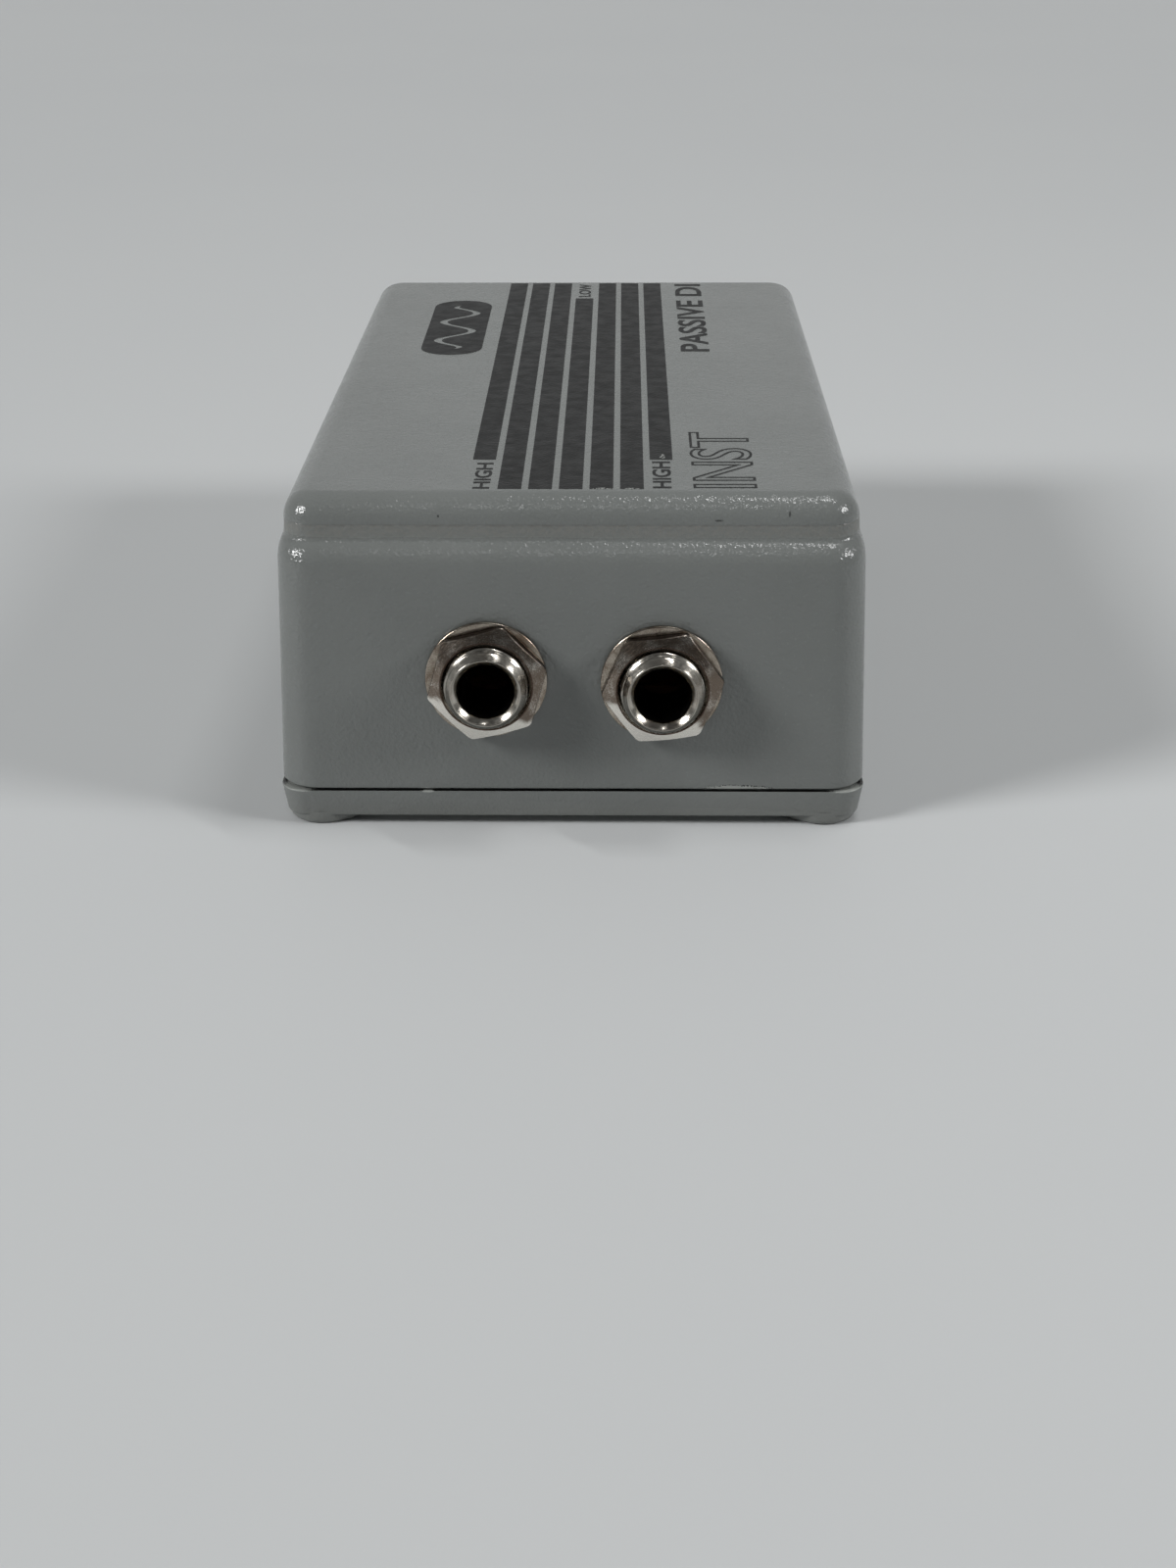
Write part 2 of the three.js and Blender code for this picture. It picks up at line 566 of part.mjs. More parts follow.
// A contact pin with a domed tip in the cup and a solder cup behind the insert.
function outputPin(x, z) {
  const cupEnd = PIN_TAIL + SOLDER_CUP_DEPTH;
  const pin = turned([
    [0, cupEnd],
    [0.7, cupEnd],
    [0.7, PIN_TAIL],
    [OUTPUT_PIN_RADIUS, PIN_TAIL],
    [OUTPUT_PIN_RADIUS, PIN_TIP - 1],
    [OUTPUT_PIN_RADIUS * 0.75, PIN_TIP - 0.3],
    [0, PIN_TIP],
  ], x, z, 12);
  const opening = block([x - 2, PIN_TAIL - 1, z], [x + 2, cupEnd, z + 2]);
  return cut(pin, opening);
}

// A pan-head machine screw along Y with its head towards the rear, and a cross recess.
function panScrew(x, z, seat, headRadius, radius, length) {
  const top = seat + PAN_HEAD_HEIGHT;
  const body = turned([
    [0, seat - length],
    [radius, seat - length],
    [radius, seat],
    [headRadius, seat],
    [headRadius, seat + 0.5],
    [headRadius * 0.75, top - 0.1],
    [headRadius * 0.4, top],
    [0, top],
  ], x, z, 20);
  const arm = headRadius * 0.55;
  const halfSlot = 0.28;
  const recess = join(
    block([x - arm, top - 0.8, z - halfSlot], [x + arm, top + 1, z + halfSlot]),
    block([x - halfSlot, top - 0.8, z - arm], [x + halfSlot, top + 1, z + arm]),
  );
  return cut(body, recess);
}

function outputNut(x, z) {
  const y0 = REAR_INSIDE - GAP - 2.15;
  const y1 = REAR_INSIDE - GAP;
  const flats = 5.5;
  return cut(endPlate(hexagon(x, z, flats, 30), y0, y1), endBar(x, z, y0 - 1, y1 + 1, 1.65));
}

place('output_shell', outputShell(), FINISHES.castNickel);
place('output_insert', outputInsert(), FINISHES.blackPlastic);
PIN_PLACES.forEach(([x, z], index) => place(`output_pin_${index + 1}`, outputPin(x, z), FINISHES.silver));
LOW_AND_HIGH.forEach(([name, side]) => {
  const x = -side * OUTPUT_SCREW_X;
  const z = SOCKET_HEIGHT + side * OUTPUT_SCREW_Z;
  place(`output_screw_${name}`, panScrew(x, z, FLANGE_FACE + HEAD_SEAT, 2.6, 1.45, 8), FINISHES.zinc);
  place(`output_nut_${name}`, outputNut(x, z), FINISHES.zinc);
});

// ---------------------------------------------------------------- ground-lift slide switch

const SWITCH_FLANGE_FRONT = REAR_INSIDE - GAP;       // flange face against the inside of the end wall
const SWITCH_FLANGE_THICKNESS = 0.7;
const CAN_DEPTH = 7;
const CAN_HALF_WIDTH = 3.7;
const CAN_HALF_HEIGHT = 6.7;
const CAN_SKIN = 0.5;
const LEVER_REST = SOCKET_HEIGHT - SWITCH_TRAVEL / 2;

function switchFrame() {
  const canRear = SWITCH_FLANGE_FRONT - CAN_DEPTH;
  const flange = block(
    [SWITCH_X - 3.9, SWITCH_FLANGE_FRONT - SWITCH_FLANGE_THICKNESS, SOCKET_HEIGHT - 12],
    [SWITCH_X + 3.9, SWITCH_FLANGE_FRONT, SOCKET_HEIGHT + 12],
  );
  const can = block(
    [SWITCH_X - CAN_HALF_WIDTH, canRear, SOCKET_HEIGHT - CAN_HALF_HEIGHT],
    [SWITCH_X + CAN_HALF_WIDTH, SWITCH_FLANGE_FRONT - 0.1, SOCKET_HEIGHT + CAN_HALF_HEIGHT],
  );
  const hollow = block(
    [SWITCH_X - CAN_HALF_WIDTH + CAN_SKIN, canRear - 1, SOCKET_HEIGHT - CAN_HALF_HEIGHT + CAN_SKIN],
    [SWITCH_X + CAN_HALF_WIDTH - CAN_SKIN, SWITCH_FLANGE_FRONT - SWITCH_FLANGE_THICKNESS,
      SOCKET_HEIGHT + CAN_HALF_HEIGHT - CAN_SKIN],
  );
  const slotHalf = (SWITCH_LEVER_LENGTH + SWITCH_TRAVEL) / 2 + 0.3;
  const slotHalfWidth = SWITCH_LEVER_WIDTH / 2 + 0.35;
  const slot = block(
    [SWITCH_X - slotHalfWidth, SWITCH_FLANGE_FRONT - 3, SOCKET_HEIGHT - slotHalf],
    [SWITCH_X + slotHalfWidth, SWITCH_FLANGE_FRONT + 1, SOCKET_HEIGHT + slotHalf],
  );
  const holes = LOW_AND_HIGH.map(([, side]) => endBar(
    SWITCH_X, SOCKET_HEIGHT + side * SWITCH_SCREW_Z,
    SWITCH_FLANGE_FRONT - 2, SWITCH_FLANGE_FRONT + 1, SWITCH_SCREW_HOLE,
  ));
  return cut(join(flange, can), hollow, slot, ...holes);
}

function switchLever() {
  const carriageFront = SWITCH_FLANGE_FRONT - SWITCH_FLANGE_THICKNESS - 0.2;
  const carriage = block(
    [SWITCH_X - 2.9, carriageFront - 2.6, LEVER_REST - 3.9],
    [SWITCH_X + 2.9, carriageFront, LEVER_REST + 3.9],
  );
  const half = SWITCH_LEVER_LENGTH / 2;
  const halfWidth = SWITCH_LEVER_WIDTH / 2;
  const end = REAR_OUTSIDE + 2.3;
  const lever = block(
    [SWITCH_X - halfWidth, carriageFront - 1, LEVER_REST - half],
    [SWITCH_X + halfWidth, end, LEVER_REST + half],
  );
  const grooves = [-1, 0, 1].map((row) => block(
    [SWITCH_X - 3, end - 0.4, LEVER_REST + row * 1.3 - 0.25],
    [SWITCH_X + 3, end + 1, LEVER_REST + row * 1.3 + 0.25],
  ));
  return cut(join(carriage, lever), ...grooves);
}

const SWITCH_BASE_FRONT = SWITCH_FLANGE_FRONT - CAN_DEPTH + 2.2;
const SWITCH_BASE_REAR = SWITCH_FLANGE_FRONT - CAN_DEPTH - 0.2;
const TERMINAL_PITCH = 4;

function switchBase() {
  const halfWidth = CAN_HALF_WIDTH - CAN_SKIN - 0.2;
  const halfHeight = CAN_HALF_HEIGHT - CAN_SKIN - 0.2;
  const base = block(
    [SWITCH_X - halfWidth, SWITCH_BASE_REAR, SOCKET_HEIGHT - halfHeight],
    [SWITCH_X + halfWidth, SWITCH_BASE_FRONT, SOCKET_HEIGHT + halfHeight],
  );
  const holes = [-1, 0, 1].map((row) => block(
    [SWITCH_X - 1, SWITCH_BASE_REAR - 1, SOCKET_HEIGHT + row * TERMINAL_PITCH - 0.45],
    [SWITCH_X + 1, SWITCH_BASE_FRONT + 1, SOCKET_HEIGHT + row * TERMINAL_PITCH + 0.45],
  ));
  return cut(base, ...holes);
}

function switchTerminal(row) {
  const z = SOCKET_HEIGHT + row * TERMINAL_PITCH;
  const tab = block(
    [SWITCH_X - 0.8, SWITCH_BASE_REAR - 4, z - 0.25],
    [SWITCH_X + 0.8, SWITCH_BASE_FRONT + 0.3, z + 0.25],
  );
  return cut(tab, roundBar(SWITCH_X, SWITCH_BASE_REAR - 2.8, z - 1, z + 1, 0.45));
}

place('lift_switch_frame', switchFrame(), FINISHES.steel);
place('lift_switch_base', switchBase(), FINISHES.phenolic);
place('lift_switch_lever', switchLever(), FINISHES.blackPlastic);
[-1, 0, 1].forEach((row, index) => {
  place(`lift_switch_terminal_${index + 1}`, switchTerminal(row), FINISHES.silver);
});
LOW_AND_HIGH.forEach(([name, side]) => {
  const z = SOCKET_HEIGHT + side * SWITCH_SCREW_Z;
  const seat = REAR_OUTSIDE + END_DRAFT / 2 + 0.1;
  place(`lift_switch_screw_${name}`, panScrew(SWITCH_X, z, seat, 2.2, 1.3, 4.6), FINISHES.zinc);
});

// ---------------------------------------------------------------- audio transformer

const TRANSFORMER_Y = 6;
const CORE_HALF_WIDTH = 14;
const CORE_HALF_DEPTH = 7;
const CORE_HEIGHT = 22;
const PAD_THICKNESS = 1.4;
const BRACKET_SKIN = 1;
const PAD_TOP = BOX_HEIGHT - CEILING - GAP;
const BRACKET_TOP = PAD_TOP - PAD_THICKNESS - GAP;
const CORE_TOP = BRACKET_TOP - BRACKET_SKIN - GAP;
const CORE_BOTTOM = CORE_TOP - CORE_HEIGHT;
const WINDOW_INSIDE = 4.6;
const WINDOW_OUTSIDE = 9.4;
const WINDOW_MARGIN = 4.6;
const BOBBIN_BOTTOM = CORE_BOTTOM + WINDOW_MARGIN + GAP;
const BOBBIN_TOP = CORE_TOP - WINDOW_MARGIN - GAP;
const BOBBIN_FLANGE = 0.8;
const BOBBIN_WALL = 1.1;

// A block centred on the transformer's upright axis.
function centred(halfWidth, halfDepth, z0, z1) {
  return block([-halfWidth, TRANSFORMER_Y - halfDepth, z0], [halfWidth, TRANSFORMER_Y + halfDepth, z1]);
}

function transformerCore() {
  const windows = [
    [-WINDOW_OUTSIDE, -WINDOW_INSIDE],
    [WINDOW_INSIDE, WINDOW_OUTSIDE],
  ].map(([x0, x1]) => block(
    [x0, TRANSFORMER_Y - 20, CORE_BOTTOM + WINDOW_MARGIN],
    [x1, TRANSFORMER_Y + 20, CORE_TOP - WINDOW_MARGIN],
  ));
  return cut(centred(CORE_HALF_WIDTH, CORE_HALF_DEPTH, CORE_BOTTOM, CORE_TOP), ...windows);
}

function transformerBobbin() {
  const halfWidth = WINDOW_INSIDE + BOBBIN_WALL;
  const halfDepth = CORE_HALF_DEPTH + BOBBIN_WALL;
  const tube = centred(halfWidth, halfDepth, BOBBIN_BOTTOM, BOBBIN_TOP);
  const flange = (z) => (
    centred(WINDOW_OUTSIDE - GAP, CORE_HALF_DEPTH + 4.6, z, z + BOBBIN_FLANGE)
  );
  const bore = centred(WINDOW_INSIDE + GAP, CORE_HALF_DEPTH + GAP, BOBBIN_BOTTOM - 1, BOBBIN_TOP + 1);
  return cut(join(tube, flange(BOBBIN_BOTTOM), flange(BOBBIN_TOP - BOBBIN_FLANGE)), bore);
}

function transformerWinding() {
  const bottom = BOBBIN_BOTTOM + BOBBIN_FLANGE + GAP;
  const top = BOBBIN_TOP - BOBBIN_FLANGE - GAP;
  const outline = { x: WINDOW_OUTSIDE - 2 * GAP, y: CORE_HALF_DEPTH + 4.2, radius: 2.4 };
  const coil = stacked([{ ...outline, z: bottom }, { ...outline, z: top }], 5);
  const insideWidth = WINDOW_INSIDE + BOBBIN_WALL + GAP;
  const bore = centred(insideWidth, CORE_HALF_DEPTH + BOBBIN_WALL + GAP, bottom - 1, top + 1);
  return cut(coil.translate([0, TRANSFORMER_Y, 0]), bore);
}

function transformerBracket() {
  const inside = CORE_HALF_WIDTH + GAP;
  return cut(
    centred(inside + BRACKET_SKIN, 5, CORE_BOTTOM + 2, BRACKET_TOP),
    centred(inside, 20, CORE_BOTTOM - 5, BRACKET_TOP - BRACKET_SKIN),
  );
}

place('transformer_pad', centred(13, 6.5, PAD_TOP - PAD_THICKNESS, PAD_TOP), FINISHES.foam);
place('transformer_bracket', transformerBracket(), FINISHES.zinc);
place('transformer_core', transformerCore(), FINISHES.lamination);
place('transformer_bobbin', transformerBobbin(), FINISHES.bobbin);
place('transformer_winding', transformerWinding(), FINISHES.windingTape);

// ---------------------------------------------------------------- ground network and wiring

// A small axial or disc component lying along Y: a barrel with a lead at each end.
function axialPart(x, z, y0, y1, bodyRadius, bodyLength) {
  const middle = (y0 + y1) / 2;
  const half = bodyLength / 2;
  const lead = 0.35;
  return turned([
    [0, y0],
    [lead, y0],
    [lead, middle - half],
    [bodyRadius, middle - half + 0.4],
    [bodyRadius, middle + half - 0.4],
    [lead, middle + half],
    [lead, y1],
    [0, y1],
  ], x, z, 12);
}

const TERMINAL_TAIL = SWITCH_BASE_REAR - 4.4;
const NETWORK_FRONT = 28;
[
  ['lift_resistor', 1, 1.3, 6.6, FINISHES.resistor],
  ['lift_capacitor', -1, 1.9, 8, FINISHES.capacitor],
].forEach(([name, row, radius, length, material]) => {
  const z = SOCKET_HEIGHT + row * TERMINAL_PITCH;
  place(name, axialPart(SWITCH_X, z, NETWORK_FRONT, TERMINAL_TAIL, radius, length), material);
});

const COIL_FRONT = TRANSFORMER_Y - CORE_HALF_DEPTH - 5.4;
const COIL_REAR = TRANSFORMER_Y + CORE_HALF_DEPTH + 5.4;
const COIL_HEIGHT = (CORE_BOTTOM + CORE_TOP) / 2;

const WIRES = [
  ['wire_tip_link', FINISHES.yellowWire, [
    [LEFT_X + TIP_EYE[0], TIP_EYE[1], TIP_EYE[2] + 1.2],
    [LEFT_X - 9, -46, 22],
    [LEFT_X, -38, 29],
    [RIGHT_X - 9.8, -44, 27],
    [RIGHT_X + TIP_EYE[0] - 0.3, TIP_EYE[1], TIP_EYE[2] + 1.2],
  ]],
  ['wire_tip_to_coil', FINISHES.redWire, [
    [LEFT_X + TIP_EYE[0], TIP_EYE[1], TIP_EYE[2] - 1.2],
    [LEFT_X - 9.5, -44, 9.2],
    [LEFT_X - 8, -30, 10],
    [-10, -16, 16],
    [-5, COIL_FRONT, COIL_HEIGHT + 3],
  ]],
  ['wire_sleeve_link', FINISHES.blackWire, [
    [LEFT_X + 0.4, SLEEVE_EYE[1], SLEEVE_EYE[2] - 2.1],
    [LEFT_X + 5, -34, 7.6],
    [RIGHT_X - 5, -34, 7.6],
    [RIGHT_X - 0.4, SLEEVE_EYE[1], SLEEVE_EYE[2] - 2.1],
  ]],
  ['wire_sleeve_to_coil', FINISHES.blackWire, [
    [RIGHT_X + 0.4, SLEEVE_EYE[1] + 1.6, SLEEVE_EYE[2] + 0.85],
    [RIGHT_X + 4, -31, 10.8],
    [9, -18, 15],
    [5, COIL_FRONT, COIL_HEIGHT - 3],
  ]],
  ['wire_hot', FINISHES.whiteWire, [
    [-5, COIL_REAR, COIL_HEIGHT + 3],
    [-9, 27, 19],
    [-8, 32, 17],
    [PIN_PLACES[0][0], PIN_TAIL - 0.5, PIN_PLACES[0][1] + 0.2],
  ]],
  ['wire_cold', FINISHES.greenWire, [
    [5, COIL_REAR, COIL_HEIGHT + 3],
    [8, 27, 19],
    [7, 32, 17.5],
    [PIN_PLACES[2][0], PIN_TAIL - 0.5, PIN_PLACES[2][1] + 0.2],
  ]],
  ['wire_ground', FINISHES.blackWire, [
    [PIN_PLACES[1][0], PIN_TAIL - 0.5, PIN_PLACES[1][1] + 0.2],
    [4, 30, 11.5],
    [14, 32, 16],
    [SWITCH_X - 2, TERMINAL_TAIL - 2.5, SOCKET_HEIGHT],
    [SWITCH_X, TERMINAL_TAIL - 0.3, SOCKET_HEIGHT],
  ]],
];

WIRES.forEach(([name, material, points]) => place(name, insulatedWire(points), material));

export default directBox;
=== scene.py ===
import math

import bmesh
import bpy
from mathutils import Matrix, Vector


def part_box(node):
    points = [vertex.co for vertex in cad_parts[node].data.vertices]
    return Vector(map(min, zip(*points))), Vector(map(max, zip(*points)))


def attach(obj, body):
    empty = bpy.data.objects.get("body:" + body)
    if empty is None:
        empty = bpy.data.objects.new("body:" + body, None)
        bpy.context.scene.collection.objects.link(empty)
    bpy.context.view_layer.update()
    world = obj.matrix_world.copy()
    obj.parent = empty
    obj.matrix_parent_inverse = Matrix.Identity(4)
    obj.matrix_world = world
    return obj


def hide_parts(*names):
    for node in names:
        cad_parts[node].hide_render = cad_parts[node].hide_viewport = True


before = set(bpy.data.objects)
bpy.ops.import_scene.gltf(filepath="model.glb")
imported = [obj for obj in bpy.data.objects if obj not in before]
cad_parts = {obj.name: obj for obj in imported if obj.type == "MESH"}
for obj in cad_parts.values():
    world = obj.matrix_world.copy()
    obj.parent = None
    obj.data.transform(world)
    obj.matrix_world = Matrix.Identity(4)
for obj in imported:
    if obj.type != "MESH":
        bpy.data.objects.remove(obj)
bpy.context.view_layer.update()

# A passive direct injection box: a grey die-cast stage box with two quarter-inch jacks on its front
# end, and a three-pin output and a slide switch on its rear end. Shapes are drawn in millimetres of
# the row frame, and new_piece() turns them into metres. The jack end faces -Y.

MM = 0.001
TURN = 2 * math.pi


def cad_span(node):
    """Lowest and highest corner of a CAD node, in millimetres."""
    low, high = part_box(node)
    return low / MM, high / MM


def cad_middle(node):
    low, high = cad_span(node)
    return (low + high) / 2


SHELL_LOW, SHELL_HIGH = cad_span("upper_shell")
SHELL_MIDDLE = (SHELL_LOW + SHELL_HIGH) / 2
FRONT = SHELL_LOW.y
REAR = SHELL_HIGH.y
CROWN = SHELL_HIGH.z - 0.04        # the enamelled top, a hair under the CAD top to leave room for the print
INK_TOP = SHELL_HIGH.z - 0.015
INK_FOOT = CROWN - 0.01
COVER_UNDERSIDE, COVER_TOP = 1.1, SHELL_LOW.z - 0.25

# ---------------------------------------------------------------- mesh tools


def add_object(name, data):
    made = bpy.data.objects.new(name, data)
    bpy.context.scene.collection.objects.link(made)
    return made


def new_piece(name, bm, sharp=30.0):
    """An object made from a drawing in millimetres, smooth apart from edges sharper than that angle."""
    bmesh.ops.remove_doubles(bm, verts=bm.verts, dist=1e-4)
    bmesh.ops.recalc_face_normals(bm, faces=bm.faces)
    bmesh.ops.scale(bm, vec=(MM, MM, MM), verts=bm.verts)
    mesh = bpy.data.meshes.new(name)
    bm.to_mesh(mesh)
    bm.free()
    piece = add_object(name, mesh)
    soften(piece, sharp)
    return piece


def soften(piece, sharp=30.0):
    piece.data.polygons.foreach_set("use_smooth", [True] * len(piece.data.polygons))
    piece.data.set_sharp_from_angle(angle=math.radians(sharp))


def bake_modifiers(piece):
    graph = bpy.context.evaluated_depsgraph_get()
    mesh = bpy.data.meshes.new_from_object(piece.evaluated_get(graph))
    piece.modifiers.clear()
    piece.data = mesh


def combine(piece, others, operation, sharp=30.0):
    """Cuts the other objects out of a piece, or joins them to it, and removes them."""
    for other in others:
        step = piece.modifiers.new("combine", "BOOLEAN")
        step.object = other
        step.operation = operation
        step.solver = "EXACT"
    bake_modifiers(piece)
    for other in others:
        bpy.data.objects.remove(other)
    soften(piece, sharp)
    return piece


def add_bevel(piece, width, segments, sharp):
    """A modifier that rounds the edges sharper than that angle, with a width in millimetres."""
    step = piece.modifiers.new("bevel", "BEVEL")
    step.width = width * MM
    step.segments = segments
    step.limit_method = "ANGLE"
    step.angle_limit = math.radians(sharp)


def bevel(piece, width, segments=3, sharp=30.0):
    add_bevel(piece, width, segments, sharp)
    bake_modifiers(piece)
    soften(piece, sharp)
    return piece


def spoke(angle):
    return Vector((math.cos(angle), math.sin(angle)))


def rounded_outline(half_x, half_y, radius, steps, support=0.5):
    """Corners of a rounded rectangle, counter-clockwise, with a support point on each side of every arc."""
    points = []
    for corner, (sign_x, sign_y) in enumerate(((1, 1), (-1, 1), (-1, -1), (1, -1))):
        centre = Vector((sign_x * (half_x - radius), sign_y * (half_y - radius)))
        for step in range(-1, steps + 2):
            angle = (corner + min(max(step, 0), steps) / steps) * TURN / 4
            along = spoke(angle + TURN / 4)
            past = -support if step < 0 else support if step > steps else 0
            points.append(centre + radius * spoke(angle) + past * along)
    return points


def skin(bm, pairs):
    """Faces between the two rings of vertices of each pair."""
    for row, above in pairs:
        for index in range(len(row)):
            following = (index + 1) % len(row)
            bm.faces.new((row[index], row[following], above[following], above[index]))


def loft(rings):
    """A closed drawing through rings of 3-D points, all of one length, with a flat face at each end."""
    bm = bmesh.new()
    rows = [[bm.verts.new(point) for point in ring] for ring in rings]
    skin(bm, zip(rows, rows[1:]))
    bm.faces.new(rows[0][::-1])
    bm.faces.new(rows[-1])
    return bm


def level_ring(outline, middle, z):
    return [Vector((middle.x + across, middle.y + along, z)) for across, along in outline]


def upright_ring(outline, middle, y):
    return [Vector((middle.x + across, y, middle.z + up)) for across, up in outline]


def level_rings(levels, middle, steps):
    """Rings for loft() from (z, half_x, half_y, radius) levels."""
    return [level_ring(rounded_outline(*size, steps), middle, z) for z, *size in levels]


def upright_rings(levels, middle, steps):
    """Rings for loft() from (y, half_x, half_z, radius) levels of a plate that stands upright."""
    return [upright_ring(rounded_outline(*size, steps, support=0.2), middle, y) for y, *size in levels]


def spun(rows, middle, axis="Y", segments=96, closed=True):
    """A drawing turned about an axis along Y or Z: each row is (radius, place), or a function of the angle
    that gives them. A closed one joins its last row to its first; an open one starts and ends on the axis."""
    bm = bmesh.new()
    grid = []
    for row in rows:
        ring = []
        for step in range(segments):
            angle = TURN * step / segments
            radius, place = row(angle) if callable(row) else row
            out = [radius * spoke(angle)]
            point, = upright_ring(out, middle, place) if axis == "Y" else level_ring(out, middle, place)
            ring.append(bm.verts.new(point))
        grid.append(ring)
    pairs = list(zip(grid, grid[1:]))
    if closed:
        pairs.append((grid[-1], grid[0]))
    skin(bm, pairs)
    bmesh.ops.remove_doubles(bm, verts=bm.verts, dist=1e-5)
    return bm


def arc(centre_r, centre_t, radius, start, end, steps=5):
    """Rows for spun() along an arc, with angles in degrees from outwards towards the end of the axis."""
    rows = []
    for step in range(steps + 1):
        angle = math.radians(start + (end - start) * step / steps)
        rows.append((centre_r + radius * math.cos(angle), centre_t + radius * math.sin(angle)))
    return rows


def thread_radius(place, angle, pitch, crest, root):
    """Radius of a screw thread with slightly rounded crests and roots."""
    phase = (place / pitch - angle / TURN) % 1.0
    height = 1 - abs(2 * phase - 1)
    height = min(max(1.25 * height - 0.125, 0.0), 1.0)
    return root + (crest - root) * height


def thread_rows(start, end, steps, pitch, crest, root, lead=0.0):
    """Rows for spun() along a screw thread. Over a lead, its crest comes up by the last 0.2 mm."""
    def row(place):
        missing = max(0.0, 1 - (place - start) / lead) if lead else 0.0
        top = crest - 0.2 * missing
        return lambda angle: (thread_radius(place, angle, pitch, top, root), place)

    return [row(start + (end - start) * step / steps) for step in range(steps + 1)]


def hole_along_y(middle, y0, y1, radius, segments=64):
    """A round bar along Y that cuts a hole."""
    rows = [(0, y0), (radius, y0), (radius, y1), (0, y1)]
    return new_piece("hole", spun(rows, middle, "Y", segments, closed=False))


def post(name, place, rows, segments=64):
    """A turned shape along Z."""
    return new_piece(name, spun(rows, Vector((place.x, place.y, 0)), "Z", segments, closed=False))


def block(name, low, high):
    bm = bmesh.new()
    bmesh.ops.create_cube(bm, size=1.0)
    low, high = Vector(low), Vector(high)
    for vertex in bm.verts:
        vertex.co = (low + high) / 2 + Vector(a * b for a, b in zip(vertex.co, high - low))
    return new_piece(name, bm)


def mount(piece, finish, replaced=None, body="case"):
    """Paints a piece, ties it to its CAD body, and hides the CAD node that it replaces."""
    piece.data.materials.clear()
    piece.data.materials.append(finish)
    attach(piece, body)
    if replaced:
        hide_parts(replaced)
    return piece


# ---------------------------------------------------------------- finishes


def colour(red, green, blue):
    """A colour from 8-bit display values, as linear light."""
    def linear(value):
        value /= 255
        return value / 12.92 if value <= 0.04045 else ((value + 0.055) / 1.055) ** 2.4
    return (linear(red), linear(green), linear(blue), 1.0)


class Nodes:
    """Short names for the nodes of one tree."""

    def __init__(self, tree):
        self.tree = tree

    def node(self, kind, **settings):
        made = self.tree.nodes.new(kind)
        for key, value in settings.items():
            setattr(made, key, value)
        return made

    def feed(self, socket, value):
        if isinstance(value, bpy.types.NodeSocket):
            self.tree.links.new(value, socket)
        else:
            socket.default_value = value

    def vector(self, operation, first, second=None, scale=None):
        made = self.node("ShaderNodeVectorMath", operation=operation)
        self.feed(made.inputs[0], first)
        if second is not None:
            self.feed(made.inputs[1], second)
        if scale is not None:
            self.feed(made.inputs["Scale"], scale)
        return made.outputs["Value"] if operation == "LENGTH" else made.outputs["Vector"]

    def math(self, operation, first, second=0.0):
        made = self.node("ShaderNodeMath", operation=operation)
        self.feed(made.inputs[0], first)
        self.feed(made.inputs[1], second)
        return made.outputs[0]

    def times(self, first, second):
        return self.math("MULTIPLY", first, second)

    def axis(self, place, letter):
        made = self.node("ShaderNodeSeparateXYZ")
        self.feed(made.inputs[0], place)
        return made.outputs[letter]

    def rise(self, value, low, high, start=0.0, end=1.0):
        """start below low, end above high, and a smooth step between them."""
        made = self.node("ShaderNodeMapRange", interpolation_type="SMOOTHSTEP")
        self.feed(made.inputs["Value"], value)
        for socket, number in zip(("From Min", "From Max", "To Min", "To Max"), (low, high, start, end)):
            made.inputs[socket].default_value = number
        return made.outputs["Result"]

    def blend(self, factor, first, second):
        made = self.node("ShaderNodeMix", data_type="RGBA")
        self.feed(made.inputs[0], factor)
        self.feed(made.inputs[6], first)
        self.feed(made.inputs[7], second)
        return made.outputs[2]


class Finish(Nodes):
    """A node material whose textures are sized in millimetres of the row frame."""

    def __init__(self, name, metallic=0.0):
        self.material = bpy.data.materials.new(name)
        self.material.use_nodes = True
        super().__init__(self.material.node_tree)
        self.shader = self.tree.nodes["Principled BSDF"]
        self.shader.inputs["Metallic"].default_value = metallic
        metres = self.node("ShaderNodeTexCoord").outputs["Object"]
        self.place = self.vector("SCALE", metres, scale=1 / MM)

    def noise(self, size, detail=2.0, stretch=(1, 1, 1), distortion=0.0):
        made = self.node("ShaderNodeTexNoise")
        self.feed(made.inputs["Vector"], self.vector("MULTIPLY", self.place, stretch))
        made.inputs["Scale"].default_value = 1 / size
        made.inputs["Detail"].default_value = detail
        made.inputs["Distortion"].default_value = distortion
        return made.outputs[0]

    def spot(self, centre, reach, ragged, grain=0.3):
        """A mask that is 1 near a place, with an uneven rim. Sizes are in millimetres."""
        offset = self.vector("SUBTRACT", self.place, Vector(centre))
        distance = self.vector("LENGTH", self.vector("DIVIDE", offset, Vector(reach)))
        shaken = self.math("ADD", distance, self.times(self.noise(grain, 4.0), ragged))
        return self.rise(shaken, 0.9 + ragged / 2, 1.02 + ragged / 2, 1.0, 0.0)

    def bump(self, height, depth, under=None):
        """Relief of that depth in millimetres."""
        made = self.node("ShaderNodeBump")
        self.feed(made.inputs["Height"], height)
        made.inputs["Distance"].default_value = depth * MM
        if under is not None:
            self.feed(made.inputs["Normal"], under)
        return made.outputs["Normal"]

    def done(self, base, roughness, normal=None):
        self.feed(self.shader.inputs["Base Color"], base)
        self.feed(self.shader.inputs["Roughness"], roughness)
        if normal is not None:
            self.feed(self.shader.inputs["Normal"], normal)
        return self.material


PRIMER = colour(38, 38, 37)
NICKED_PAINT = colour(66, 68, 67)
BARE_METAL = colour(150, 151, 147)
# Lighter paint: rubbed through, and on the cover's top-edge corners also a painted highlight.
RUBBED_PAINT_AND_HIGHLIGHT = colour(152, 155, 151)


